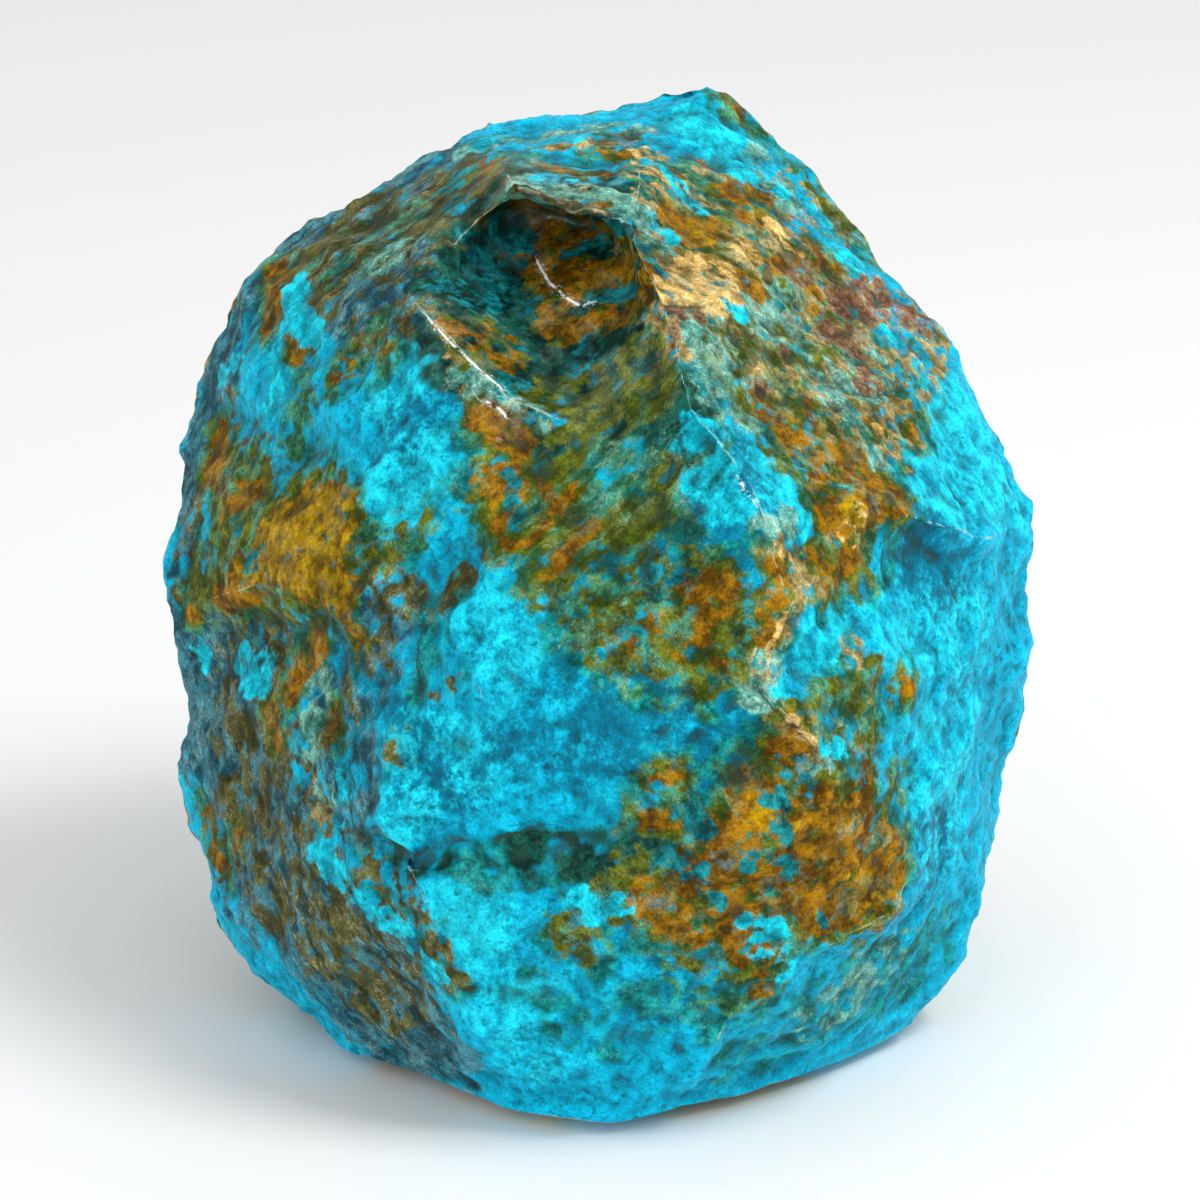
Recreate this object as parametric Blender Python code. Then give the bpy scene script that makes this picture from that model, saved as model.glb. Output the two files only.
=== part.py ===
"""A chrysocolla specimen: one blocky, broken stone that stands on its own flat fracture face.

The form starts as a cage of hand-placed corners. Its front half is drawn on a board that leans back,
as seen by an eye a little above the stone; its back half and its resting face are placed in the
stone's own frame. Named ridges join the corners, the cage is triangulated between them, and the
faces are divided, relaxed between the ridges and roughened.
"""

import math

import bmesh
import bpy
from mathutils import Vector, noise
from mathutils.geometry import delaunay_2d_cdt

MM = 0.001
STONE_WIDTH = 70.6 * MM  # across the front, at its widest
BOARD_WIDTH = 883  # the same width, counted in squares of the drawing board
SQUARE = STONE_WIDTH / BOARD_WIDTH
BOARD_MIDDLE = 600  # column and row of the board's middle
BOARD_LEAN = math.radians(20)  # the eye looks down on the stone by this angle
EYE = 360 * MM  # from the eye to the board
HEART = Vector((0.36 * MM, -0.22 * MM, 33.2 * MM))  # the board's middle; its feet centred on the origin

EDGE_NEAR = 2.75 * MM  # longest edge after dividing, on the front
EDGE_FAR = 3.8 * MM  # and on the back
FRONT_HALF = 4 * MM  # what lies before this y counts as the front
DIVIDE_ROUNDS = 4
OUTLINE_SHARPNESS = 0.3
SHARP_ENOUGH_TO_STAY = 0.65  # a ridge at least this sharp doesn't move in relaxing
RELAX_ROUNDS = 6
RELAX_IN = 0.5
RELAX_OUT = -0.53  # each round moves back out a little further than in, so the stone keeps its size
SHARP = math.radians(28)

WAVES = ((12.0 * MM, 0.55 * MM), (5.2 * MM, 0.36 * MM), (3.0 * MM, 0.12 * MM))  # size, height
CALM_ABOVE_BASE = 3.0 * MM  # the roughening fades out this near the resting face

# The outline of the front, clockwise from the summit: column, row, and mm out from the board.
OUTLINE = [
    (708, 80, -8), (742, 100, -9), (775, 132, -9), (816, 165, -8), (840, 205, -7), (872, 248, -6),
    (892, 275, -5), (925, 303, -5), (957, 353, -4), (985, 402, -3), (1005, 450, -2), (1030, 500, -1),
    (1040, 535, 0), (1033, 580, 0), (1036, 645, -1), (1028, 695, -2), (1010, 728, -3), (1001, 775, -3),
    (996, 830, -3), (987, 885, -2), (968, 925, 0), (955, 975, 0), (936, 1008, 0), (900, 1036, 2),
    (865, 1053, 4.5), (800, 1077, 8.5), (745, 1097, 11.5), (680, 1109, 14), (615, 1124, 16),
    (550, 1119, 15.5), (500, 1108, 13.5), (445, 1086, 10), (395, 1066, 7), (340, 1048, 4),
    (290, 1010, 0), (245, 972, -3), (215, 925, -5), (200, 875, -5), (188, 820, -6), (178, 770, -5),
    (184, 710, -5), (173, 655, -4), (163, 610, -3), (157, 565, -4), (171, 505, -6), (180, 445, -8),
    (196, 395, -9), (214, 345, -9), (228, 295, -9), (256, 255, -8), (300, 216, -7), (345, 196, -7),
    (395, 171, -6), (450, 139, -4), (495, 122, -9), (550, 113, -12), (610, 106, -13), (660, 90, -11),
]

# Ridges and creases of the front: how sharp (0 soft, 1 keen), then corners as on the outline.
RIDGES = {
    "lip of the ledge": (1, [(497, 152, 5), (505, 172, 9), (516, 188, 13), (545, 200, 15),
                             (580, 209, 16), (620, 216, 17)]),
    "brow": (1, [(620, 216, 17), (632, 238, 18.5), (643, 262, 20), (655, 292, 22), (668, 322, 24),
                 (676, 346, 25), (684, 385, 27), (690, 412, 28)]),
    "hollow, upper wall": (0, [(512, 203, 6), (545, 213, 5), (582, 222, 6), (614, 231, 9),
                               (628, 262, 13), (638, 300, 17)]),
    "hollow, left rim": (0.4, [(516, 188, 13), (480, 222, 9.5), (455, 248, 10.5), (432, 275, 13),
                               (412, 303, 16)]),
    "hollow, lower lip": (1, [(412, 303, 16), (430, 320, 18), (455, 345, 20), (482, 370, 21.5),
                              (512, 400, 23), (562, 415, 23.5)]),
    "left shoulder": (0.6, [(450, 139, -4), (452, 165, 1), (446, 200, 6), (440, 232, 10)]),
    "left brow": (0.5, [(258, 262, -5), (285, 312, 4), (335, 342, 11), (385, 328, 15), (412, 303, 16)]),
    "left arris": (0.6, [(256, 318, 0), (248, 370, 1), (255, 430, 3), (275, 482, 8)]),
    "tip of the nose": (0.3, [(163, 610, -3), (205, 600, 3)]),
    "nose": (0.8, [(205, 600, 3), (250, 588, 9), (290, 597, 14), (345, 598, 19)]),
    "under the nose": (0, [(173, 640, -3), (215, 642, 0), (270, 640, 7), (305, 640, 12),
                           (335, 645, 16)]),
    "side of the nose": (0.8, [(205, 505, -1), (186, 550, -1), (175, 590, -1.5)]),
    "groove": (0.7, [(362, 562, 19.5), (345, 598, 19), (338, 645, 16.5), (345, 700, 18),
                     (335, 770, 17.5), (338, 825, 17)]),
    "slab edge": (0.3, [(400, 530, 22), (395, 600, 22), (400, 680, 23), (385, 760, 23.5),
                        (375, 820, 23)]),
    "lobe": (0.8, [(545, 545, 27.5), (490, 572, 26.8), (450, 612, 25.8), (452, 650, 26.2),
                   (480, 685, 27)]),
    "foot of the lobe": (0, [(455, 585, 24.5), (430, 640, 23.8), (420, 720, 24.2), (440, 790, 25.5)]),
    "valley": (0.5, [(345, 842, 17.5), (395, 860, 22), (470, 858, 24.5), (540, 853, 26),
                     (600, 838, 27), (655, 815, 28), (705, 790, 28.5), (750, 760, 29)]),
    "keel": (1, [(405, 868, 23.5), (420, 905, 23.5), (445, 950, 23), (468, 1000, 21.5),
                 (500, 1060, 19), (530, 1108, 15.5)]),
    "arris": (1, [(690, 412, 28), (715, 438, 28.5), (738, 462, 29), (756, 488, 29.5)]),
    "lower arris": (0.3, [(756, 488, 29.5), (768, 520, 30), (775, 550, 30.2)]),
    "vee, left": (0.8, [(775, 550, 30.2), (785, 580, 30.6), (792, 605, 30.8)]),
    "vee, right": (0.8, [(872, 530, 22), (835, 570, 26.5), (808, 595, 29.7), (792, 605, 30.8)]),
    "stem of the vee": (1, [(792, 605, 30.8), (780, 640, 31.3), (768, 660, 31.6), (766, 684, 31.6),
                            (790, 715, 31.2), (800, 728, 30.8), (820, 748, 29.8), (838, 778, 28.5)]),
    "cheek": (0.3, [(838, 778, 28.5), (870, 740, 25.5), (875, 700, 24.8)]),
    "flank": (0.3, [(838, 778, 28.5), (890, 800, 22.5), (903, 845, 20.5), (910, 885, 18.5)]),
    "hem": (1, [(910, 885, 18.5), (893, 916, 18.8), (855, 937, 20.3), (800, 955, 22.2),
                (768, 1000, 21.8), (735, 1018, 21.5), (705, 1062, 19), (650, 1105, 16.2)]),
    "fold": (0.8, [(968, 925, 0), (930, 940, 7), (890, 972, 11), (850, 1008, 12.5)]),
    "step": (0.7, [(872, 530, 22), (915, 516, 20), (950, 528, 16), (985, 536, 11)]),
    "end of the step": (0.3, [(985, 536, 11), (1018, 530, 4.5), (1040, 535, 0)]),
    "under the step": (0, [(880, 560, 20.5), (920, 552, 16.5), (955, 560, 12.5), (990, 565, 7.5)]),
    "right chip": (0.8, [(1030, 655, 1), (988, 688, 8), (982, 722, 8.5), (962, 765, 10.5)]),
    "shelf": (0.5, [(497, 152, 5), (545, 140, 1.5), (590, 134, 0), (640, 126, -2)]),
    "top of the ledge": (0.4, [(545, 163, 7.5), (600, 164, 8), (638, 172, 9), (640, 192, 13),
                               (620, 216, 17)]),
}

# Corners of the front that lie on no ridge, from the hollow outwards.
SPOTS = [
    (500, 240, 7.5), (462, 280, 12), (520, 285, 9.5), (570, 288, 13), (600, 310, 15), (640, 335, 21),
    (540, 345, 16), (600, 375, 20.5), (650, 375, 25), (400, 230, 6), (350, 255, 6), (300, 262, 0),
    (350, 300, 10), (400, 270, 11), (330, 400, 13), (290, 430, 8.5), (400, 400, 20),
    (440, 470, 23.5), (350, 470, 16.5), (300, 490, 11.5), (225, 380, -3), (215, 450, -3),
    (290, 545, 13), (340, 540, 18), (240, 530, 6), (400, 340, 17.5), (450, 400, 21.5),
    (480, 480, 24.5), (525, 440, 23), (540, 500, 25), (430, 530, 24), (620, 440, 25),
    (600, 500, 26), (560, 470, 24.5), (650, 520, 27), (700, 470, 27.5), (720, 540, 29.5),
    (600, 570, 27.8), (660, 600, 29.3), (540, 620, 28.3), (720, 630, 31), (520, 720, 28.3),
    (600, 700, 30), (680, 690, 31), (740, 720, 31.3), (480, 790, 26.8), (560, 780, 28.6),
    (640, 750, 30), (330, 880, 15.5), (300, 950, 11), (390, 970, 16), (260, 880, 7), (235, 820, 2),
    (285, 790, 11), (240, 720, 4), (300, 710, 13), (340, 1000, 10.5), (420, 1045, 13),
    (225, 670, 1.5), (290, 675, 11), (430, 1000, 19), (660, 140, -1), (700, 150, 0), (750, 165, -2),
    (800, 220, -1), (680, 230, 12.5), (740, 240, 10), (800, 300, 9.5), (860, 310, 4),
    (720, 300, 18.5), (780, 360, 18), (850, 380, 13.5), (910, 360, 5.5), (740, 390, 24),
    (800, 450, 23.5), (860, 450, 19), (930, 440, 10.5), (980, 470, 5.5), (700, 345, 24),
    (885, 492, 21.5), (820, 520, 26.5), (800, 560, 28.5), (870, 600, 22.5), (930, 600, 16.5),
    (1000, 600, 6.5), (840, 650, 27), (920, 680, 19.5), (970, 640, 12), (940, 780, 14.5),
    (970, 850, 6.5), (850, 830, 26), (950, 900, 8), (600, 900, 27.5), (500, 920, 25.5),
    (680, 870, 28), (760, 830, 29), (540, 990, 23.5), (640, 980, 24.5), (720, 940, 25),
    (600, 1060, 20.5), (830, 890, 23.5), (780, 900, 25), (820, 1030, 13.5), (900, 1005, 6),
    (740, 1060, 14), (870, 960, 14.5),
]

# The resting face, in the stone's frame: x, y and z in mm.
RESTING_FACE = [
    (-21, -9, 0), (-17, -13.5, 0), (-9, -18, 0), (-4, -23, 0), (2, -23.5, 0), (9, -20, 0),
    (15, -16.5, 0), (20.5, -12, 0), (24, -6, 0), (27, 1, 0), (23.5, 9, 0), (20, 14, 0), (13, 17, 0),
    (7, 22.5, 0), (-2, 20, 0), (-11, 21, 0), (-16, 15.5, 0), (-23, 10, 0), (-21.5, 3, 0),
    (-25, -3, 0),
]

# Ridges of the back, in the same frame: how sharp, then corners.
BACK_RIDGES = {
    "spine": (0.9, [(2, 27, 63), (7, 32, 53), (3, 33.5, 43)]),
    "left wing": (0.9, [(3, 33.5, 43), (-9, 32.5, 38), (-20, 27, 36), (-30, 15.5, 39)]),
    "right wing": (0.9, [(3, 33.5, 43), (15, 29, 39), (25, 22.5, 40), (33, 11, 35)]),
    "left keel of the back": (0.9, [(-20, 27, 36), (-16, 28, 25), (-12, 26.5, 12)]),
    "right keel of the back": (0.9, [(15, 29, 39), (19, 28, 27), (17, 23.5, 11)]),
    "foot of the back": (0.5, [(-27, 14, 13), (-12, 26.5, 12), (4, 28, 9), (17, 23.5, 11),
                               (30, 8, 15)]),
}
BACK_SPOTS = [
    (-10, 26, 56), (-22, 23, 49), (16, 26, 57), (24, 20, 50), (-31, 5, 22), (29, -1, 8),
    (-26, 2, 6), (1, 29, 26), (28, 18, 27), (-25, 20, 24), (-4, 31.5, 33), (-6, 30.5, 48),
]


def on_board(column, row, near):
    """A corner of the drawing as (across, up, near) in metres: nearer things look larger."""
    near *= MM
    scale = SQUARE * (EYE - near) / EYE
    return ((column - BOARD_MIDDLE) * scale, (BOARD_MIDDLE - row) * scale, near)


def board_from_stone(x, y, z):
    """The stone's frame, in mm, turned into the board's frame, in metres."""
    rise = z * MM - HEART.z
    y *= MM
    up = y * math.sin(BOARD_LEAN) + rise * math.cos(BOARD_LEAN)
    near = -y * math.cos(BOARD_LEAN) + rise * math.sin(BOARD_LEAN)
    return (x * MM, up, near)


def stone_from_board(across, up, near):
    """The board's frame turned back into the stone's frame: z is height above the resting face."""
    y = up * math.sin(BOARD_LEAN) - near * math.cos(BOARD_LEAN)
    z = HEART.z + up * math.cos(BOARD_LEAN) + near * math.sin(BOARD_LEAN)
    return Vector((across + HEART.x, y + HEART.y, z))


class Cage:
    """Corners in the board's frame, each held once, and how sharp the edges between them are."""

    def __init__(self):
        self.corners = []
        self.sharpness = {}

    def corner(self, place):
        for number, other in enumerate(self.corners):
            if max(abs(a - b) for a, b in zip(place, other)) < 1e-7:
                return number
        self.corners.append(place)
        return len(self.corners) - 1

    def line(self, numbers, sharpness):
        """Notes the edges along a line of corners, and returns them."""
        edges = list(zip(numbers, numbers[1:]))
        for edge in edges:
            self.sharpness[frozenset(edge)] = sharpness
        return edges

    def triangles(self, numbers, edges, boundary):
        """Triangles over these corners as the board shows them, keeping the edges given."""
        place = {number: spot for spot, number in enumerate(numbers)}
        flat = [Vector(self.corners[number][:2]) for number in numbers]
        found = delaunay_2d_cdt(
            flat,
            [(place[a], place[b]) for a, b in edges],
            [[place[number] for number in boundary]],
            1,
            1e-7,
        )
        if len(found[0]) != len(flat):
            raise ValueError("two ridges cross, or two corners fall together")
        origin = [numbers[spots[0]] for spots in found[3]]
        return [[origin[spot] for spot in face] for face in found[2]]


def stone_cage():
    """The whole cage: front and back triangulated apart, meeting at the outline."""
    cage = Cage()
    rim = [cage.corner(on_board(*corner)) for corner in OUTLINE]
    cage.line(rim + rim[:1], OUTLINE_SHARPNESS)
    front = list(rim)
    front_edges = []
    for sharpness, corners in RIDGES.values():
        numbers = [cage.corner(on_board(*corner)) for corner in corners]
        front_edges += cage.line(numbers, sharpness)
        front += numbers
    front += [cage.corner(on_board(*corner)) for corner in SPOTS]
    resting = [cage.corner(board_from_stone(*corner)) for corner in RESTING_FACE]
    back_edges = cage.line(resting + resting[:1], 0.9)
    back = rim + resting
    for sharpness, corners in BACK_RIDGES.values():
        numbers = [cage.corner(board_from_stone(*corner)) for corner in corners]
        back_edges += cage.line(numbers, sharpness)
        back += numbers
    back += [cage.corner(board_from_stone(*corner)) for corner in BACK_SPOTS]
    faces = cage.triangles(list(dict.fromkeys(front)), front_edges, rim)
    faces += cage.triangles(list(dict.fromkeys(back)), back_edges, rim)
    return cage, faces


def cage_mesh(cage, faces):
    """The cage as a bmesh in the stone's frame, with the sharpness kept on its edges."""
    mesh = bmesh.new()
    corners = [mesh.verts.new(stone_from_board(*place)) for place in cage.corners]
    keen = mesh.edges.layers.float.new("crease_edge")
    for face in faces:
        mesh.faces.new([corners[number] for number in face])
    mesh.verts.index_update()
    for edge in mesh.edges:
        ends = frozenset(vert.index for vert in edge.verts)
        edge[keen] = cage.sharpness.get(ends, 0.0)
    bmesh.ops.recalc_face_normals(mesh, faces=mesh.faces)
    return mesh, keen


def divide(mesh):
    """Halves every edge that is too long, round after round."""
    def too_long(edge):
        middle = (edge.verts[0].co + edge.verts[1].co) / 2
        longest = EDGE_NEAR if middle.y < FRONT_HALF else EDGE_FAR
        return edge.calc_length() > longest

    for _ in range(DIVIDE_ROUNDS):
        edges = [edge for edge in mesh.edges if too_long(edge)]
        bmesh.ops.subdivide_edges(mesh, edges=edges, cuts=1)
        bmesh.ops.triangulate(mesh, faces=mesh.faces, quad_method="SHORT_EDGE", ngon_method="BEAUTY")


def relax(mesh, keen):
    """Rounds the faces between the ridges: a keen ridge stays put and a soft one gives a little.
    Each round moves the faces in and back out, so that they round off but don't shrink."""
    def keenest(vert):
        return max(edge[keen] for edge in vert.link_edges)

    loose = [vert for vert in mesh.verts if vert.co.z > 1e-6]
    plain = [vert for vert in loose if keenest(vert) == 0]
    soft = [vert for vert in loose if 0 < keenest(vert) < SHARP_ENOUGH_TO_STAY]
    for share in (RELAX_IN, RELAX_OUT) * RELAX_ROUNDS:
        for verts, part in ((plain, share), (soft, share / 3)):
            bmesh.ops.smooth_vert(mesh, verts=verts, factor=part,
                                  use_axis_x=True, use_axis_y=True, use_axis_z=True)


def roughen(mesh):
    """Moves every vertex by waves of noise, which die away near the resting face."""
    for vert in mesh.verts:
        calm = min(max(vert.co.z / CALM_ABOVE_BASE, 0.0), 1.0)
        shift = Vector((0.0, 0.0, 0.0))
        for size, depth in WAVES:
            shift += noise.noise_vector(vert.co / size) * depth
        vert.co += shift * calm


def stone_material():
    material = bpy.data.materials.new("chrysocolla")
    material.use_nodes = True
    shader = material.node_tree.nodes["Principled BSDF"]
    shader.inputs["Base Color"].default_value = (0.01, 0.36, 0.45, 1.0)
    shader.inputs["Roughness"].default_value = 0.45
    shader.inputs["Metallic"].default_value = 0.0
    return material


def make_stone():
    cage, faces = stone_cage()
    mesh, keen = cage_mesh(cage, faces)
    divide(mesh)
    relax(mesh, keen)
    roughen(mesh)
    data = bpy.data.meshes.new("stone")
    mesh.to_mesh(data)
    mesh.free()
    data.materials.append(stone_material())
    data.shade_smooth()
    data.set_sharp_from_angle(angle=SHARP)
    stone = bpy.data.objects.new("stone", data)
    bpy.context.scene.collection.objects.link(stone)


for leftover in list(bpy.data.objects):
    bpy.data.objects.remove(leftover, do_unlink=True)
make_stone()
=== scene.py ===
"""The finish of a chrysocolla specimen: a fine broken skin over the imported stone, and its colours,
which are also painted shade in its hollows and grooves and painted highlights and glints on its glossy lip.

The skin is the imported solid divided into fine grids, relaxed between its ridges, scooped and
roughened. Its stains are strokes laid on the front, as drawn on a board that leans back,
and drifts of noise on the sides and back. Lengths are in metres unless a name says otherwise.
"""

import itertools
import math

import bmesh
import bpy
import numpy as np
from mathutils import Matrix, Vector


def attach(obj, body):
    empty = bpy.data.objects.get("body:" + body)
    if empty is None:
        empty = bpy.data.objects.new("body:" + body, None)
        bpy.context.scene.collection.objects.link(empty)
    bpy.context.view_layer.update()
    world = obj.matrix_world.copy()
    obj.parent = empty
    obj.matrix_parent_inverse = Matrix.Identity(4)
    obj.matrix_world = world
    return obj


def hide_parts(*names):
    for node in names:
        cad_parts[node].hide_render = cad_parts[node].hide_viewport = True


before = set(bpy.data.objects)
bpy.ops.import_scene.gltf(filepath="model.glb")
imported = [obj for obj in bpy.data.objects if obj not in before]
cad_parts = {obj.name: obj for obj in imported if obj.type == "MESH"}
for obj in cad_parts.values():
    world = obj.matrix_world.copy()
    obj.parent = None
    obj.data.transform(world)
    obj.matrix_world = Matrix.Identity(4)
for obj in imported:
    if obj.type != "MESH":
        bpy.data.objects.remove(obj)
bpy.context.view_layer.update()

MM = 0.001
LEAST_LENGTH = 1e-20  # a shorter vector isn't divided by its length

# The drawing board of the front: columns run right, rows run down, and near is out of the board.
STONE_WIDTH = 70.6 * MM
BOARD_WIDTH = 883
SQUARE = STONE_WIDTH / BOARD_WIDTH
BOARD_MIDDLE = 600
BOARD_SQUARES = 1200  # the side of the picture's frame
BOARD_LEAN = math.radians(20)
LEAN_SIN, LEAN_COS = math.sin(BOARD_LEAN), math.cos(BOARD_LEAN)
EYE = 360 * MM
HEART = Vector((0.36 * MM, -0.22 * MM, 33.2 * MM))  # the point of the stone behind the board's middle
FILM_MM = 36.0  # the width of the camera's film, in millimetres
NEAREST_SEEN = 10 * MM

# The skin's mesh
STEPS_PER_FACET = 4
ONE_POINT = 0.002 * MM  # corners nearer to each other than this are one
RIDGE_ANGLE = math.radians(22)
RELAX_ROUNDS = 9
RELAX_IN, RELAX_OUT = 0.5, -0.52  # a round moves points in, then back out, so the form keeps its size
RESTING_HEIGHT = 0.001 * MM  # points lower than this are on the resting face
WORN_ANGLE, BARE_ANGLE = math.radians(26), math.radians(48)  # ridges that start to wear, and are bare
WEAR_ROUNDS, EDGE_ROUNDS, RISE_ROUNDS = 2, 8, 40  # rounds of smoothing that a point is held against
SMOOTHING = 0.6  # how far a round of that smoothing moves a point
EDGE_HEIGHT, RISE_HEIGHT = 0.10 * MM, 0.40 * MM  # heights that count as 1 in those fields

# The skin's relief: sizes of its patterns and their heights, depths or widths
SCOOPS = ((10.0 * MM, 0.95 * MM), (4.0 * MM, 0.28 * MM))
LUMPS = ((5.0 * MM, 0.22 * MM), (1.0 * MM, 0.07 * MM))
CRESTS = ((6.5 * MM, 0.34 * MM), (2.8 * MM, 0.17 * MM), (1.3 * MM, 0.13 * MM))
WARP_SIZE, WARP_REACH = 4.0 * MM, 1.2 * MM  # how the relief's patterns are bent
SIDEWAYS_SIZE, SIDEWAYS_REACH = 1.6 * MM, 0.12 * MM
RIB_SIZE, RIB_HEIGHT = 0.9 * MM, 0.12 * MM
CRACK_WIDTH, CRACK_DEPTH = 0.45 * MM, 0.30 * MM
CALM_ABOVE_BASE = 3.0 * MM  # the relief is full above this height
SMOOTH_BREAK, CALM_BREAK = 0.8, 0.75  # how smooth the glossy hollow broke, and how much that calms
SEEDS = {"warp": 40, "scoops": 60, "lumps": 70, "crests": 75, "sideways": 80, "ribs": 90}

# The noises: random slopes and their gain, and the scattered middles of bowls
SLOPES, NOISE_GAIN = 256, 1.7
MIDDLES, CUBE_STEPS = 4096, (73, 179, 283)
MIDDLE_LOW, MIDDLE_HIGH = 0.05, 0.95  # where in its cube a bowl's middle may be
BOWL_MEAN = 0.3

# Strokes and hairlines
FULL_STROKE, END_STROKE = 0.55, 1.45  # a stroke is full and gone at these shares of its width
FOUND_SQUARES, FOUND_SHARE = 7.0, 1.5  # how near to a place on the board the skin's points count
LINE_DEPTH, DEPTH_SHARE = 4 * MM, 0.35  # how far off a hairline's points count, and how much of that
LINE_REACH = 2 * MM  # distances across a hairline stop here
LINE_NEAR, LINE_FAR = 0.5 * MM, 1.1 * MM  # a hairline is whole within the first and gone past the second

# The studio
FLOOR_RADIUS, FLOOR_CORNERS = 1.2, 96
PAPER, PAPER_ROUGHNESS = (0.93, 0.93, 0.93, 1.0), 0.9
ROOM_COLOUR, ROOM_LIGHT = (1.0, 1.0, 1.0, 1.0), 0.72
LAMPS = {  # place, size and watts
    "key lamp": ((0.30, -0.12, 0.50), 0.20, 1.7),
    "fill lamp": ((-0.40, -0.50, 0.20), 0.30, 0.65),
}


def board_of(points):
    """Columns, rows and nearness of points: turned by the board's lean, then divided by how near
    they are to the eye, (EYE - near) / EYE."""
    right, up, near = turned_to_board(points)
    scale = SQUARE * (EYE - near) / EYE
    return BOARD_MIDDLE + right / scale, BOARD_MIDDLE - up / scale, near


def turned_to_board(points):
    """How far points are right of the heart, up the board and out of it: y and z turned by the lean."""
    away = points - np.array(HEART)
    up = away[:, 1] * LEAN_SIN + away[:, 2] * LEAN_COS
    near = -away[:, 1] * LEAN_COS + away[:, 2] * LEAN_SIN
    return away[:, 0], up, near


def ease(low, high, value):
    """0 below low, 1 above high, and 3t^2 - 2t^3 between."""
    part = np.clip((value - low) / (high - low), 0.0, 1.0)
    return part * part * (3.0 - 2.0 * part)


def lattice_noise(points, size, seed):
    """Noise from about -1 to 1. Every corner of a lattice of cubes has a random slope, and a point
    blends the heights that its cube's eight slopes give it, by 6t^5 - 15t^4 + 10t^3 on each axis."""
    chance = np.random.default_rng(seed)
    slopes = chance.normal(size=(SLOPES, 3))
    slopes /= np.linalg.norm(slopes, axis=1)[:, None]
    shuffle = chance.permutation(SLOPES)
    place = points / size
    cube = np.floor(place).astype(np.int64)
    part = place - cube
    blend = part ** 3 * (part * (part * 6.0 - 15.0) + 10.0)
    total = np.zeros(len(points))
    for corner in itertools.product((0, 1), repeat=3):
        at = cube + corner
        number = shuffle[at[:, 0] % SLOPES]
        number = shuffle[(number + at[:, 1]) % SLOPES]
        number = shuffle[(number + at[:, 2]) % SLOPES]
        height = (slopes[number] * (part - corner)).sum(axis=1)
        total += height * np.where(corner, blend, 1.0 - blend).prod(axis=1)
    return total * NOISE_GAIN


def fractal_noise(points, size, octaves, seed):
    """The sum of noise at ever half the size and half the height."""
    total = np.zeros(len(points))
    for octave in range(octaves):
        total += lattice_noise(points, size / 2 ** octave, seed + octave) / 2 ** octave
    return total


def scoops(points, size, seed):
    """Shallow bowls with sharp rims between them, as in shell-like fracture: the square of the
    distance to the nearest of one random middle per lattice cube, over the cube's side."""
    middles = np.random.default_rng(seed).uniform(MIDDLE_LOW, MIDDLE_HIGH, (MIDDLES, 3))
    place = points / size
    cube = np.floor(place).astype(np.int64)
    nearest = np.full(len(points), np.inf)
    for step in itertools.product((-1, 0, 1), repeat=3):
        at = cube + step
        number = (at * CUBE_STEPS).sum(axis=1) % MIDDLES
        nearest = np.minimum(nearest, ((place - at - middles[number]) ** 2).sum(axis=1))
    return np.minimum(nearest, 1.0) - BOWL_MEAN


def facet_grids(corners, steps):
    """Every facet (A, B, C) as a grid of two parameters: the point (u, v) is A + u (B - A) +
    v (C - A), with u and v in whole steps and u + v at most 1. Returns points and triangles."""
    pairs = [(i, j) for i in range(steps + 1) for j in range(steps + 1 - i)]
    number = {pair: spot for spot, pair in enumerate(pairs)}
    weights = np.array(pairs, float) / steps
    a, b, c = corners[:, 0, None], corners[:, 1, None], corners[:, 2, None]
    points = a + weights[None, :, 0, None] * (b - a) + weights[None, :, 1, None] * (c - a)
    small = []
    for i, j in pairs:
        if i + j < steps:
            small.append((number[i, j], number[i + 1, j], number[i, j + 1]))
        if i + j < steps - 1:
            small.append((number[i + 1, j], number[i + 1, j + 1], number[i, j + 1]))
    faces = np.array(small)[None] + (np.arange(len(corners)) * len(pairs))[:, None, None]
    return points.reshape(-1, 3), faces.reshape(-1, 3)


def mesh_arrays(mesh):
    """Points and triangles of a mesh made only of triangles."""
    points = np.empty(len(mesh.vertices) * 3)
    mesh.vertices.foreach_get("co", points)
    faces = np.empty(len(mesh.polygons) * 3, np.int32)
    mesh.polygons.foreach_get("vertices", faces)
    return points.reshape(-1, 3), faces.reshape(-1, 3)


def welded(points, faces, name):
    """A mesh of these triangles with its doubles merged."""
    mesh = bpy.data.meshes.new(name)
    mesh.from_pydata(points.tolist(), [], faces.tolist())
    work = bmesh.new()
    work.from_mesh(mesh)
    bmesh.ops.remove_doubles(work, verts=work.verts, dist=ONE_POINT)
    bmesh.ops.triangulate(work, faces=work.faces)
    work.to_mesh(mesh)
    work.free()
    return mesh


def unit(vectors):
    """These vectors at a length of 1."""
    return vectors / np.maximum(np.linalg.norm(vectors, axis=1), LEAST_LENGTH)[:, None]


def face_slopes(points, faces):
    """Each triangle's normal, as long as twice its area."""
    sides = points[faces]
    return np.cross(sides[:, 1] - sides[:, 0], sides[:, 2] - sides[:, 0])


def point_normals(points, faces):
    """The mean of the normals of the faces about each point, by their area."""
    across = face_slopes(points, faces)
    total = np.zeros_like(points)
    for corner in range(3):
        for axis in range(3):
            total[:, axis] += np.bincount(faces[:, corner], across[:, axis], len(points))
    return unit(total)


def edges_and_bends(points, faces):
    """Each edge once, and the angle between its two faces."""
    ends = np.concatenate([faces[:, [0, 1]], faces[:, [1, 2]], faces[:, [2, 0]]])
    owner = np.tile(np.arange(len(faces)), 3)
    ends = np.sort(ends, axis=1)
    order = np.lexsort((ends[:, 1], ends[:, 0]))
    ends, owner = ends[order], owner[order]
    normals = unit(face_slopes(points, faces))
    cosine = (normals[owner[0::2]] * normals[owner[1::2]]).sum(axis=1)
    return ends[0::2], np.arccos(np.clip(cosine, -1.0, 1.0))


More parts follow.
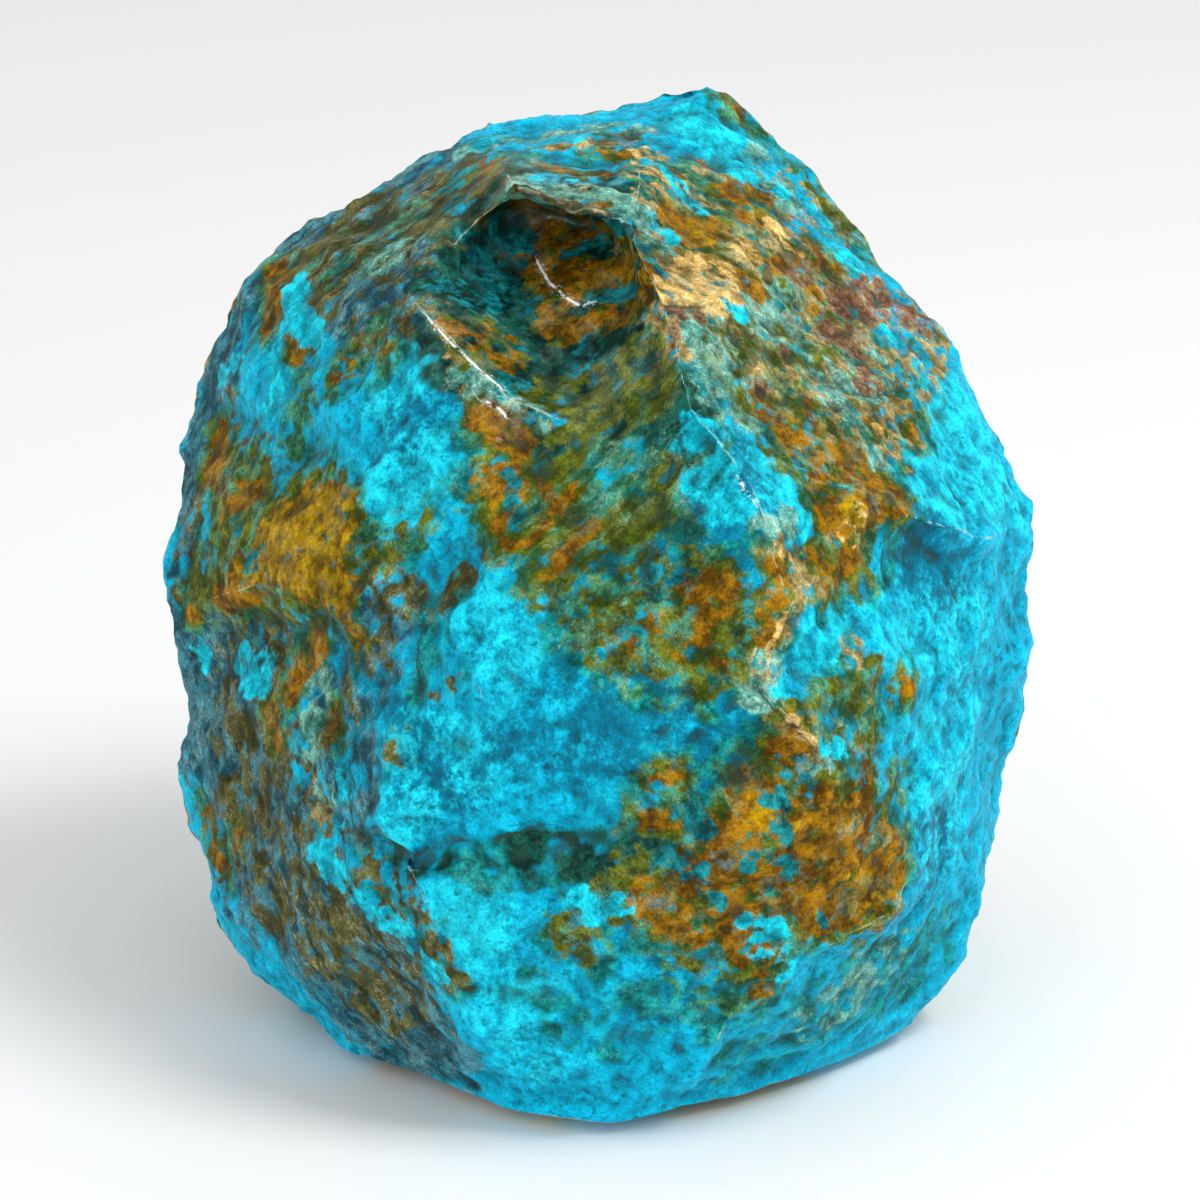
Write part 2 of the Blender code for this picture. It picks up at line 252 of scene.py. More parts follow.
def neighbour_mean(points, edges):
    """The mean of each point's neighbours along these edges, and how many it has."""
    count = np.bincount(edges.ravel(), minlength=len(points)).astype(float)
    total = np.zeros_like(points)
    for axis in range(3):
        total[:, axis] += np.bincount(edges[:, 0], points[edges[:, 1], axis], len(points))
        total[:, axis] += np.bincount(edges[:, 1], points[edges[:, 0], axis], len(points))
    return total / np.maximum(count, 1.0)[:, None], count


def relaxed(points, edges, bends):
    """Points moved half of the way to their neighbours' mean and then back out a little further,
    again and again. A point on a ridge looks only at its neighbours along the ridge, so the ridge
    stays sharp and turns smooth; one where ridges meet, or on the resting face, stays put."""
    ridge = edges[bends > RIDGE_ANGLE]
    _, ridge_count = neighbour_mean(points, ridge)
    on_ridge = ridge_count == 2
    fixed = (points[:, 2] < RESTING_HEIGHT) | (ridge_count > 2)
    for share in (RELAX_IN, RELAX_OUT) * RELAX_ROUNDS:
        plain, _ = neighbour_mean(points, edges)
        along, _ = neighbour_mean(points, ridge)
        goal = np.where(on_ridge[:, None], along, plain)
        goal[fixed] = points[fixed]
        points = points + (goal - points) * share
    return points


def convexity(points, faces, edges, rounds):
    """How far each point stands out of the mean of its surroundings, in metres: above 0 on an
    edge and below 0 in a groove."""
    mean = points
    for _ in range(rounds):
        near, _ = neighbour_mean(mean, edges)
        mean = mean + (near - mean) * SMOOTHING
    return ((points - mean) * point_normals(mean, faces)).sum(axis=1)


def ridge_wear(points, faces, edges, bends):
    """How worn the ridge through each point is, by the sharpest outward bend of its edges."""
    heights = convexity(points, faces, edges, WEAR_ROUNDS)
    outward = (heights[edges[:, 0]] + heights[edges[:, 1]]) > 0.0
    worn = ease(WORN_ANGLE, BARE_ANGLE, bends) * outward
    wear = np.zeros(len(points))
    np.maximum.at(wear, edges[:, 0], worn)
    np.maximum.at(wear, edges[:, 1], worn)
    return wear


def pushes(points, size, seed):
    """Three noises beside each other, as a push of each point in x, y and z."""
    return np.stack([lattice_noise(points, size, seed + axis) for axis in range(3)], axis=1)


def roughened(points, faces, smooth):
    """Points moved along their normals by the sum of scoops, lumps and crests, each its noise times its
    height, where a crest is twice the noise's distance from 0, taken off. They move a little sideways
    too, less where the stone broke smooth and not at all at the resting face."""
    normals = point_normals(points, faces)
    calm = ease(0.0, CALM_ABOVE_BASE, points[:, 2]) * (1.0 - CALM_BREAK * smooth)
    warped = points + pushes(points, WARP_SIZE, SEEDS["warp"]) * WARP_REACH
    height = np.zeros(len(points))
    for number, (size, depth) in enumerate(SCOOPS):
        height += scoops(warped, size, SEEDS["scoops"] + number) * depth
    for number, (size, depth) in enumerate(LUMPS):
        height += lattice_noise(warped, size, SEEDS["lumps"] + number) * depth
    for number, (size, depth) in enumerate(CRESTS):
        height -= np.abs(lattice_noise(warped, size, SEEDS["crests"] + number)) * 2.0 * depth
    sideways = pushes(points, SIDEWAYS_SIZE, SEEDS["sideways"]) * SIDEWAYS_REACH
    return points + (normals * height[:, None] + sideways) * calm[:, None]


# Stains of the front: how strong, how wide in squares of the board, and the stroke's points.
STROKES = {
    # Bottle is partly the stone's dark teal and partly painted shade: the shaded hollow under the lip, the
    # crease under the front face, its groove on the left and the underside of the left nose.
    "bottle and painted shade": [
        (1.0, 66, [(520, 225), (500, 270), (480, 320)]), (1.0, 80, [(550, 235), (600, 245)]),
        (1.0, 56, [(560, 300), (620, 300), (560, 350)]), (0.95, 36, [(450, 290), (440, 275)]),
        (0.95, 60, [(600, 370), (540, 370), (490, 345)]), (0.75, 40, [(630, 400), (672, 415)]),
        (0.7, 40, [(560, 425), (520, 400)]), (0.7, 16, [(450, 180), (440, 230)]),
        (0.7, 16, [(520, 855), (600, 850), (640, 835)]), (0.6, 22, [(570, 880), (600, 870)]),
        (0.6, 22, [(775, 795), (760, 800)]), (0.5, 20, [(330, 620), (300, 625)]),
        (0.5, 24, [(745, 630), (750, 600)]), (0.5, 30, [(660, 560), (670, 540)]),
        (0.5, 16, [(365, 850), (400, 866), (440, 855)]),
    ],
    "sage": [
        (1.0, 24, [(530, 172), (590, 185), (612, 190)]), (0.9, 16, [(460, 140), (540, 124), (640, 116)]),
        (0.8, 26, [(640, 205), (662, 232)]), (0.8, 34, [(745, 300), (785, 300)]),
        (0.75, 40, [(720, 340), (735, 385)]), (0.7, 24, [(790, 335), (818, 350)]),
        (0.7, 18, [(828, 470), (850, 468), (880, 450)]), (0.6, 18, [(770, 515), (795, 512)]),
        (0.7, 14, [(852, 726), (864, 736)]), (0.7, 12, [(828, 752), (842, 760)]),
        (0.7, 26, [(765, 150), (790, 190)]), (0.6, 24, [(310, 680), (300, 740), (320, 800)]),
        (0.6, 30, [(880, 360), (850, 400)]), (0.6, 20, [(455, 380), (490, 400), (540, 415)]),
        (0.55, 20, [(755, 690), (770, 650)]), (0.5, 40, [(820, 1030), (900, 960)]),
        (0.5, 14, [(818, 780), (826, 790)]), (0.5, 26, [(380, 250), (400, 240)]),
        (0.6, 10, [(842, 832), (848, 842)]), (0.6, 10, [(856, 852), (862, 862)]),
        (0.6, 9, [(876, 846), (881, 854)]), (0.6, 16, [(752, 884), (744, 900)]),
    ],
    "pale": [
        (0.75, 70, [(960, 420), (990, 470)]), (0.7, 50, [(960, 480), (930, 470)]),
        (1.0, 30, [(720, 420), (700, 400)]), (0.9, 45, [(770, 470), (800, 500)]),
        (0.9, 46, [(390, 370), (420, 350)]), (0.85, 50, [(400, 470), (380, 500)]),
        (0.8, 35, [(370, 820), (400, 800)]), (0.9, 25, [(820, 640), (850, 620)]),
        (0.7, 50, [(480, 640), (500, 620)]), (0.6, 50, [(450, 760), (420, 750)]),
        (0.5, 60, [(900, 620), (980, 640), (960, 740)]), (0.6, 60, [(950, 820), (940, 760)]),
        (0.7, 40, [(450, 910), (490, 930)]), (0.6, 50, [(470, 980), (540, 1060)]),
        (0.8, 25, [(770, 700), (765, 670)]), (1.0, 30, [(700, 110), (740, 150)]),
        (0.6, 20, [(540, 590), (500, 600)]), (0.8, 16, [(285, 300), (300, 340)]),
    ],
    "deep": [
        (0.8, 40, [(710, 460), (740, 510), (700, 500)]), (0.7, 35, [(420, 410), (400, 420)]),
        (0.9, 45, [(930, 540), (950, 580)]), (0.8, 60, [(640, 720), (720, 740), (600, 720)]),
        (0.6, 50, [(560, 740), (520, 740)]), (0.7, 35, [(700, 770), (720, 790)]),
        (0.6, 40, [(420, 800), (440, 790)]), (0.5, 50, [(950, 860), (930, 840)]),
        (0.5, 40, [(640, 980), (660, 1010)]), (0.7, 40, [(690, 540), (740, 530)]),
        (0.8, 30, [(340, 950), (430, 960)]), (0.6, 40, [(200, 370), (220, 340)]),
        (0.7, 30, [(400, 740), (370, 700)]),
    ],
    "teal": [
        (0.5, 30, [(510, 205), (500, 260), (480, 330)]), (0.9, 11, [(562, 250), (590, 240), (612, 226)]),
        (1.0, 11, [(598, 292), (630, 288)]), (0.6, 26, [(480, 270), (440, 290)]),
        (0.8, 40, [(540, 350), (600, 370)]), (0.8, 26, [(520, 370), (515, 385)]),
        (0.9, 22, [(460, 165), (455, 200)]), (0.8, 22, [(545, 430), (570, 425)]),
        (0.6, 20, [(520, 470), (545, 480)]), (0.7, 60, [(570, 480), (650, 420), (670, 400)]),
        (0.6, 50, [(600, 520), (680, 470)]), (0.8, 36, [(655, 545), (665, 575)]),
        (0.8, 20, [(565, 565), (570, 585)]), (0.6, 40, [(600, 600), (650, 620)]),
        (0.6, 26, [(740, 600), (750, 640), (745, 560)]), (0.5, 24, [(720, 670), (745, 650)]),
        (0.6, 22, [(430, 865), (520, 860), (590, 850), (640, 830)]), (0.9, 28, [(560, 870), (590, 885)]),
        (0.7, 20, [(480, 870), (520, 870)]), (0.6, 30, [(640, 850), (700, 830)]),
        (0.45, 40, [(540, 1000), (600, 1040), (680, 1000)]), (0.5, 30, [(720, 1000), (700, 1030)]),
        (0.55, 60, [(760, 1050), (850, 1000), (930, 960)]), (0.5, 30, [(700, 345), (730, 370)]),
        (0.8, 14, [(655, 245), (658, 262)]), (0.5, 26, [(760, 290), (740, 310)]),
        (0.5, 22, [(800, 370), (795, 385)]), (0.4, 25, [(840, 410), (850, 400)]),
        (0.5, 30, [(880, 540), (890, 560)]), (0.45, 25, [(860, 650), (850, 680)]),
        (0.5, 20, [(870, 720), (860, 745)]), (0.8, 18, [(225, 530), (235, 535)]),
        (0.7, 22, [(300, 605), (330, 600), (270, 610)]), (0.8, 14, [(322, 578), (322, 585)]),
        (0.7, 24, [(220, 640), (260, 640), (200, 625)]), (0.6, 25, [(375, 620), (372, 630)]),
        (0.6, 30, [(640, 335), (620, 345)]), (0.5, 30, [(335, 560), (360, 540)]),
        (0.5, 24, [(430, 620), (415, 680)]), (0.5, 24, [(345, 640), (340, 740)]),
    ],
    "slate": [
        (1.0, 90, [(215, 700), (250, 820), (310, 930), (390, 1030)]), (1.0, 60, [(190, 620), (185, 720)]),
        (0.95, 70, [(420, 160), (350, 200), (290, 240)]), (0.9, 60, [(400, 250), (350, 290), (420, 290)]),
        (0.9, 40, [(230, 300), (205, 400), (185, 480)]), (0.7, 50, [(370, 640), (330, 720), (350, 800)]),
        (0.7, 40, [(215, 350), (205, 400)]), (0.6, 30, [(240, 300), (235, 330)]),
        (0.6, 24, [(175, 540), (172, 570)]), (0.6, 30, [(190, 680), (190, 760)]),
        (0.6, 40, [(250, 880), (230, 920)]), (0.7, 40, [(290, 960), (330, 1010)]),
        (0.6, 30, [(380, 1050), (420, 1060)]), (0.5, 50, [(360, 260), (330, 250)]),
        (0.5, 30, [(300, 850), (330, 930)]), (0.5, 30, [(270, 780), (250, 820)]),
    ],
    "moss": [
        (0.85, 90, [(690, 200), (760, 260), (840, 340)]), (0.8, 70, [(760, 360), (850, 420)]),
        (0.8, 30, [(660, 180), (645, 150)]), (0.8, 22, [(730, 95), (765, 125)]),
        (0.6, 60, [(330, 240), (400, 220)]),
        (0.9, 24, [(492, 165), (487, 190), (465, 230)]), (0.7, 40, [(520, 300), (500, 340)]),
        (0.7, 40, [(560, 350), (620, 400)]), (0.7, 50, [(620, 440), (580, 500), (680, 420)]),
        (0.6, 50, [(560, 540), (640, 520)]), (0.7, 50, [(600, 620), (660, 650), (720, 660)]),
        (0.6, 40, [(720, 345), (760, 330), (730, 380)]), (0.6, 30, [(345, 335), (370, 330)]),
        (0.5, 30, [(300, 270), (320, 280)]), (0.5, 30, [(280, 430), (290, 400)]),
        (0.6, 30, [(620, 860), (680, 850), (700, 920)]), (0.5, 30, [(690, 980), (740, 1010)]),
        (0.6, 26, [(560, 600), (590, 590)]), (0.5, 20, [(470, 545), (520, 560)]),
        (0.6, 20, [(460, 360), (490, 395), (520, 410)]), (0.6, 24, [(880, 700), (870, 750)]),
        (0.4, 40, [(900, 420), (930, 380)]),
    ],
    "earth": [
        (0.85, 80, [(440, 190), (360, 220), (310, 260)]), (0.6, 34, [(380, 320), (420, 300)]),
        (0.66, 80, [(240, 700), (250, 800), (300, 900), (380, 980)]),
        (0.75, 60, [(400, 200), (350, 220)]), (0.7, 45, [(430, 180), (400, 250)]),
        (0.6, 40, [(310, 260), (320, 290)]), (0.5, 30, [(360, 300), (340, 340)]),
        (0.6, 28, [(220, 400), (215, 440)]), (0.6, 30, [(240, 450), (260, 470)]),
        (0.6, 25, [(185, 500), (180, 540)]), (0.5, 18, [(178, 560), (172, 590)]),
        (0.8, 26, [(210, 605), (250, 612), (300, 625)]), (0.7, 20, [(250, 630), (280, 640)]),
        (0.7, 32, [(375, 580), (390, 600)]), (0.6, 28, [(365, 650), (385, 640)]),
        (0.5, 16, [(440, 670), (430, 690)]), (0.6, 14, [(428, 612), (440, 590), (458, 572)]),
        (0.6, 18, [(470, 545), (490, 540), (500, 550)]), (0.7, 18, [(210, 700), (250, 740), (260, 770)]),
        (0.6, 25, [(290, 740), (300, 760)]), (0.7, 22, [(300, 800), (310, 810)]),
        (0.7, 25, [(250, 790), (290, 850), (310, 890)]), (0.7, 20, [(230, 850), (260, 920), (300, 970)]),
        (0.7, 22, [(320, 900), (350, 960), (380, 990)]), (0.7, 24, [(340, 850), (380, 900), (420, 940)]),
        (0.6, 18, [(400, 890), (430, 950), (450, 990)]), (0.7, 30, [(300, 940), (350, 1000)]),
        (0.5, 25, [(200, 820), (210, 870)]), (0.5, 12, [(340, 680), (345, 740)]),
        (0.6, 12, [(385, 770), (392, 730)]),
    ],
    "tan": [
        (0.68, 85, [(700, 230), (780, 260), (850, 330)]), (0.62, 60, [(800, 380), (880, 400)]),
        (0.8, 50, [(800, 270), (850, 300)]), (0.8, 40, [(720, 310), (700, 330)]),
        (0.7, 45, [(780, 330), (840, 340)]), (0.8, 40, [(820, 380), (880, 380)]),
        (0.7, 35, [(800, 420), (840, 430)]), (0.6, 30, [(890, 400), (900, 440)]),
        (0.6, 25, [(860, 470), (880, 460)]), (0.7, 30, [(760, 220), (790, 250)]),
        (0.6, 30, [(800, 180), (840, 220)]), (0.5, 20, [(820, 570), (840, 560)]),
        (0.45, 30, [(940, 340), (920, 380)]), (0.6, 18, [(550, 138), (600, 132), (640, 122)]),
        (0.55, 20, [(600, 185), (560, 182)]), (0.7, 16, [(650, 150), (690, 195), (740, 215)]),
        (0.6, 14, [(700, 150), (760, 180), (800, 215)]), (0.5, 18, [(300, 790), (312, 812)]),
        (0.5, 18, [(860, 650), (880, 690)]), (0.5, 14, [(790, 555), (812, 590)]),
        (0.6, 20, [(530, 400), (560, 412)]), (0.5, 16, [(450, 360), (475, 395)]),
        (0.5, 20, [(870, 950), (900, 915)]), (0.5, 26, [(765, 340), (775, 385)]),
    ],
    "olive": [
        (1.0, 55, [(230, 500), (250, 560), (220, 570)]), (0.9, 36, [(200, 560), (190, 590)]),
        (0.8, 40, [(300, 500), (325, 520)]), (0.8, 30, [(260, 590), (320, 590)]),
        (0.7, 22, [(345, 545), (345, 520)]), (0.8, 30, [(465, 320), (490, 350)]),
        (0.8, 35, [(560, 380), (600, 400), (640, 380)]), (0.7, 30, [(540, 390), (520, 360)]),
        (0.7, 24, [(620, 355), (640, 345)]), (0.6, 30, [(600, 410), (560, 400)]),
        (0.5, 30, [(570, 440), (600, 420)]), (0.5, 20, [(650, 490), (660, 470)]),
        (0.7, 16, [(565, 460), (550, 500), (540, 530)]), (0.7, 25, [(590, 520), (570, 540)]),
        (0.6, 30, [(640, 510), (620, 530)]), (0.7, 30, [(600, 550), (640, 545), (600, 580)]),
        (0.8, 36, [(600, 620), (640, 640), (700, 655)]), (0.7, 30, [(555, 560), (545, 570)]),
        (0.7, 35, [(680, 580), (720, 590)]), (0.8, 28, [(720, 660), (690, 665)]),
        (0.6, 25, [(765, 590), (760, 620)]), (0.8, 35, [(640, 880), (700, 900)]),
        (0.6, 30, [(620, 900), (660, 930)]), (0.6, 30, [(700, 960), (690, 940)]),
        (0.7, 22, [(580, 955), (570, 942)]), (0.6, 25, [(760, 990), (740, 960)]),
        (0.5, 30, [(650, 850), (700, 840)]), (0.7, 32, [(830, 720), (860, 700)]),
        (0.7, 26, [(880, 740), (865, 770)]), (0.6, 22, [(880, 675), (872, 690)]),
        (0.5, 24, [(820, 155), (840, 200)]), (0.5, 30, [(870, 240), (830, 190)]),
        (0.5, 35, [(730, 350), (760, 340)]), (0.5, 30, [(800, 340), (840, 350)]),
        (0.6, 25, [(780, 380), (790, 400)]), (0.6, 30, [(810, 400), (790, 440)]),
        (0.5, 25, [(820, 440), (840, 430)]), (0.6, 18, [(745, 385), (760, 405)]),
        (0.8, 20, [(845, 560), (870, 575)]), (0.6, 16, [(395, 530), (410, 522)]),
        (0.6, 14, [(372, 550), (382, 558)]), (0.6, 14, [(455, 490), (470, 475)]),
        (0.7, 24, [(700, 880), (630, 900)]), (0.6, 20, [(860, 800), (910, 780)]),
    ],
    "rust": [
        (1.0, 17, [(268, 262), (266, 300), (260, 315)]), (1.0, 22, [(532, 212), (545, 240), (580, 224)]),
        (1.0, 24, [(530, 252), (570, 272), (620, 258)]), (1.0, 20, [(640, 280), (600, 320), (570, 325)]),
        (0.8, 20, [(555, 300), (560, 320)]), (0.9, 14, [(518, 194), (560, 210)]),
        (0.9, 12, [(638, 250), (645, 275)]), (0.8, 16, [(450, 320), (470, 330)]),
        (0.5, 20, [(500, 330), (510, 350)]), (1.0, 17, [(480, 415), (500, 425), (512, 440)]),
        (1.0, 15, [(490, 475), (508, 480), (500, 510)]), (1.0, 11, [(508, 450), (510, 465)]),
        (1.0, 5, [(490, 520), (500, 538), (525, 541), (545, 525), (550, 500), (540, 470)]),
        (0.8, 5, [(575, 470), (562, 500), (548, 525)]), (0.9, 8, [(590, 518), (572, 545), (560, 558)]),
        (0.9, 20, [(230, 582), (250, 588), (212, 602)]), (0.8, 14, [(210, 430), (215, 455)]),
        (0.9, 17, [(205, 462), (220, 478)]), (0.8, 18, [(245, 490), (220, 502)]),
        (1.0, 15, [(310, 645), (290, 665), (280, 690)]), (0.9, 13, [(265, 708), (268, 740)]),
        (0.9, 11, [(326, 715), (321, 735)]), (0.8, 9, [(180, 615), (190, 622)]),
        (0.8, 9, [(340, 606), (346, 620)]), (0.8, 8, [(230, 828), (228, 842)]),
        (0.7, 10, [(205, 850), (215, 870)]), (0.7, 10, [(197, 812), (200, 828)]),
        (0.85, 16, [(692, 584), (718, 582)]), (0.85, 15, [(705, 612), (718, 606)]),
        (0.65, 11, [(655, 618), (660, 632)]), (0.7, 13, [(702, 640), (710, 656)]),
        (0.6, 11, [(688, 650), (672, 652)]), (1.0, 11, [(773, 556), (778, 572)]),
        (0.8, 14, [(768, 628), (776, 600)]), (0.6, 8, [(622, 640), (630, 645)]),
        (1.0, 9, [(825, 556), (835, 580)]), (0.9, 13, [(832, 590), (850, 570), (868, 556)]),
        (1.0, 20, [(850, 448), (865, 475), (880, 490)]), (1.0, 19, [(838, 500), (850, 522), (900, 500)]),
        (1.0, 18, [(906, 495), (890, 475)]), (0.9, 14, [(866, 522), (880, 510)]),
        (1.0, 22, [(802, 735), (785, 752)]), (1.0, 28, [(770, 810), (742, 830)]),
        (1.0, 38, [(822, 830), (850, 850)]), (1.0, 38, [(800, 878), (850, 880)]),
        (1.0, 28, [(830, 918), (878, 890), (900, 868)]), (1.0, 26, [(740, 840), (730, 858)]),
        (1.0, 23, [(702, 872), (722, 880)]), (1.0, 24, [(680, 900), (668, 920), (650, 900)]),
        (0.9, 20, [(762, 880), (750, 905)]), (0.9, 16, [(870, 800), (880, 830)]),
        (0.9, 16, [(895, 832), (905, 860)]), (0.9, 14, [(745, 790), (750, 775)]),
        (0.9, 13, [(735, 940), (742, 962)]), (0.9, 10, [(762, 955), (772, 966)]),
        (0.8, 18, [(690, 940), (720, 930)]), (0.9, 18, [(780, 900), (800, 912)]),
        (0.8, 12, [(756, 990), (770, 1002)]), (0.8, 11, [(870, 758), (876, 780)]),
        (0.8, 9, [(920, 690), (910, 684)]), (0.7, 10, [(660, 785), (670, 780)]),
        (0.8, 10, [(642, 826), (672, 826)]), (1.0, 20, [(676, 212), (700, 230), (720, 220)]),
        (0.8, 13, [(760, 182), (740, 170), (778, 192)]), (0.7, 11, [(735, 94), (748, 108)]),
        (0.9, 7, [(518, 190), (550, 197), (600, 194)]), (0.8, 7, [(540, 152), (580, 162), (620, 165)]),
        (0.7, 9, [(600, 140), (625, 146)]), (0.8, 18, [(820, 250), (832, 265)]),
        (0.8, 18, [(740, 262), (760, 282)]), (0.7, 14, [(780, 270), (800, 250)]),
        (0.8, 26, [(735, 185), (760, 215)]), (0.5, 18, [(810, 300), (830, 284)]),
        (0.7, 20, [(770, 400), (800, 430), (830, 460)]), (0.7, 14, [(808, 392), (820, 410)]),
        (0.8, 12, [(778, 400), (786, 420), (796, 440)]), (0.8, 12, [(872, 410), (880, 422)]),
        (0.8, 9, [(920, 424), (924, 432)]), (0.7, 11, [(482, 154), (478, 168)]),
        (0.6, 9, [(342, 350), (340, 365), (330, 376)]), (0.7, 8, [(382, 342), (379, 352)]),
        (0.6, 11, [(278, 340), (292, 352)]), (0.7, 9, [(828, 432), (842, 446)]),
        (0.8, 12, [(815, 470), (838, 500)]), (0.6, 8, [(548, 568), (560, 560)]),
    ],
    "ochre": [
        (1.0, 30, [(275, 548), (302, 540)]), (1.0, 24, [(300, 575), (328, 582)]),
        (1.0, 22, [(300, 508), (330, 512)]), (1.0, 20, [(262, 535), (285, 518)]),
        (0.8, 14, [(232, 566), (250, 572)]), (0.7, 18, [(330, 545), (335, 530)]),
        (0.7, 12, [(700, 218), (712, 230)]), (0.7, 12, [(870, 522), (855, 502)]),
        (0.6, 10, [(735, 168), (770, 185)]), (0.5, 14, [(860, 880), (880, 900)]),
        (0.5, 14, [(770, 815), (790, 830)]), (0.6, 10, [(345, 615), (350, 640)]),
    ],
    "gold": [
        (0.85, 32, [(690, 262), (718, 266)]), (0.85, 26, [(680, 286), (708, 290)]),
        (0.9, 22, [(730, 280), (720, 300)]), (0.8, 16, [(745, 240), (762, 252)]),
        (0.6, 16, [(800, 240), (780, 230)]), (0.6, 14, [(670, 165), (700, 188)]),
        (0.6, 12, [(640, 140), (660, 172)]), (0.5, 9, [(530, 194), (600, 206)]),
        (0.7, 8, [(796, 728), (815, 745), (822, 765)]), (0.6, 9, [(790, 548), (800, 562)]),
        (0.6, 5, [(792, 605), (780, 630), (768, 655)]), (0.5, 10, [(900, 440), (885, 428)]),
        (0.5, 16, [(860, 535), (868, 520)]), (0.5, 12, [(655, 292), (668, 322)]),
    ],
    "plum": [
        (0.8, 12, [(680, 306), (702, 312)]), (0.8, 28, [(850, 300), (880, 290)]),
        (0.8, 24, [(900, 300), (922, 315)]), (0.9, 13, [(860, 345), (870, 362)]),
        (0.9, 8, [(794, 346), (797, 352)]), (0.9, 8, [(769, 378), (772, 386)]),
        (0.7, 20, [(840, 330), (860, 330)]), (0.7, 14, [(870, 380), (880, 370)]),
        (0.7, 10, [(662, 320), (670, 335)]), (0.5, 14, [(800, 270), (812, 260)]),
    ],
    "pool": [
        (0.95, 10, [(770, 790), (786, 798)]), (0.85, 8, [(782, 828), (786, 845)]),
        (0.75, 8, [(745, 860), (750, 876)]), (0.8, 12, [(702, 900), (716, 912)]),
        (0.9, 9, [(828, 920), (836, 932)]), (0.75, 10, [(782, 866), (794, 878)]),
        (0.75, 13, [(688, 820), (706, 836)]), (0.75, 11, [(662, 852), (678, 862)]),
        (0.95, 10, [(562, 246), (592, 238), (616, 228)]), (0.95, 9, [(586, 298), (606, 291), (628, 290)]),
        (0.9, 26, [(512, 230), (496, 262), (478, 290)]), (0.8, 11, [(654, 242), (659, 258)]),
        (0.8, 16, [(452, 290), (440, 276)]), (0.7, 14, [(600, 560), (614, 566)]),
        (0.7, 16, [(640, 556), (660, 566)]), (0.7, 12, [(732, 640), (744, 622)]),
        (0.7, 9, [(508, 470), (512, 520)]), (0.6, 12, [(450, 165), (446, 200)]),
        (0.7, 14, [(505, 390), (520, 372)]), (0.6, 14, [(595, 330), (580, 360)]),
        (0.6, 12, [(690, 880), (700, 870)]), (0.5, 12, [(240, 560), (252, 550)]),
        (0.8, 8, [(464, 230), (470, 240)]), (0.6, 9, [(394, 188), (400, 192)]),
    ],
    "azure": [
        (1.0, 18, [(288, 285), (282, 310), (300, 330)]), (1.0, 30, [(680, 110), (702, 120)]),
        (1.0, 26, [(720, 130), (748, 162)]), (0.85, 12, [(650, 152), (690, 186), (705, 200)]),
        (0.75, 26, [(698, 432), (716, 470), (722, 500)]), (0.7, 14, [(676, 452), (690, 486)]),
        (0.7, 10, [(660, 212), (674, 230)]), (0.8, 14, [(480, 136), (495, 130)]),
        (0.7, 10, [(540, 126), (580, 130)]), (0.75, 12, [(540, 166), (562, 172)]),
        (0.8, 12, [(770, 170), (792, 188)]), (0.8, 14, [(843, 254), (862, 266)]),
        (0.8, 10, [(832, 216), (815, 200)]), (0.7, 12, [(735, 302), (748, 312)]),
        (0.8, 10, [(894, 325), (906, 336)]), (0.7, 13, [(838, 742), (848, 748)]),
        (0.8, 20, [(762, 932), (778, 950)]), (0.7, 14, [(784, 962), (790, 975)]),
        (0.8, 18, [(585, 915), (576, 908)]), (0.7, 12, [(612, 910), (622, 915)]),
        (1.0, 22, [(252, 672), (236, 664)]), (0.9, 10, [(332, 778), (334, 822)]),
        (0.9, 18, [(308, 846), (330, 880)]), (0.75, 16, [(350, 900), (392, 932)]),
        (0.8, 12, [(200, 660), (190, 650)]), (0.7, 14, [(410, 960), (432, 980)]),
        (0.75, 14, [(215, 372), (232, 360)]),
        (0.8, 20, [(265, 350), (262, 400)]), (0.7, 14, [(840, 645), (820, 650)]),
    ],
    "gloss": [
        (1.0, 62, [(520, 225), (560, 285), (500, 335)]), (1.0, 26, [(425, 318), (475, 375), (510, 415)]),
        (0.6, 40, [(560, 410), (620, 350)]),
    ],
    "slanting grain": [
        (1.0, 90, [(300, 290), (420, 200)]), (1.0, 70, [(560, 520), (680, 410)]),
        (0.7, 40, [(380, 640), (430, 600), (470, 560)]),
    ],
    "falling grain": [
        (1.0, 90, [(230, 760), (280, 900), (400, 1020)]), (0.6, 40, [(660, 110), (760, 190)]),
        (0.8, 60, [(800, 1050), (930, 980)]), (0.8, 40, [(210, 330), (180, 500)]),
    ],
}
HAIRLINES = {
    "pale hair": [
        [(605, 128), (628, 148), (640, 172), (639, 196), (622, 213)],
        [(513, 186), (530, 191), (558, 201), (590, 209), (620, 218)],
        [(622, 236), (640, 238), (662, 246)], [(448, 346), (464, 374), (476, 398), (506, 417)],
        [(445, 618), (447, 645), (468, 665), (480, 692)], [(850, 935), (890, 915), (912, 884)],
    ],
    "dark hair": [
        [(590, 134), (618, 128), (642, 124)], [(345, 600), (360, 578), (376, 560)],
        [(420, 628), (412, 660), (416, 702)], [(340, 660), (337, 720), (345, 832)],
        [(352, 840), (376, 850), (402, 862), (440, 846), (500, 842), (540, 830)],
        [(850, 388), (876, 395), (902, 388)], [(760, 690), (786, 726), (812, 748)],
        [(556, 402), (580, 396), (600, 372)], [(645, 290), (660, 302), (700, 304)],
        [(655, 505), (664, 482), (668, 462)], [(880, 300), (905, 294), (926, 306)],
        [(232, 612), (270, 626), (310, 632)], [(890, 520), (940, 560), (960, 600)],
    ],
    # Painted highlights: lines of white light on the glossy lip of the hollow and its glints.
    "painted highlight": [
        [(428, 318), (450, 342), (478, 366), (502, 386)], [(484, 400), (498, 408), (507, 417)],
        [(538, 262), (547, 280), (562, 294), (578, 305), (592, 303)],
        [(738, 480), (752, 500)],
    ],
}
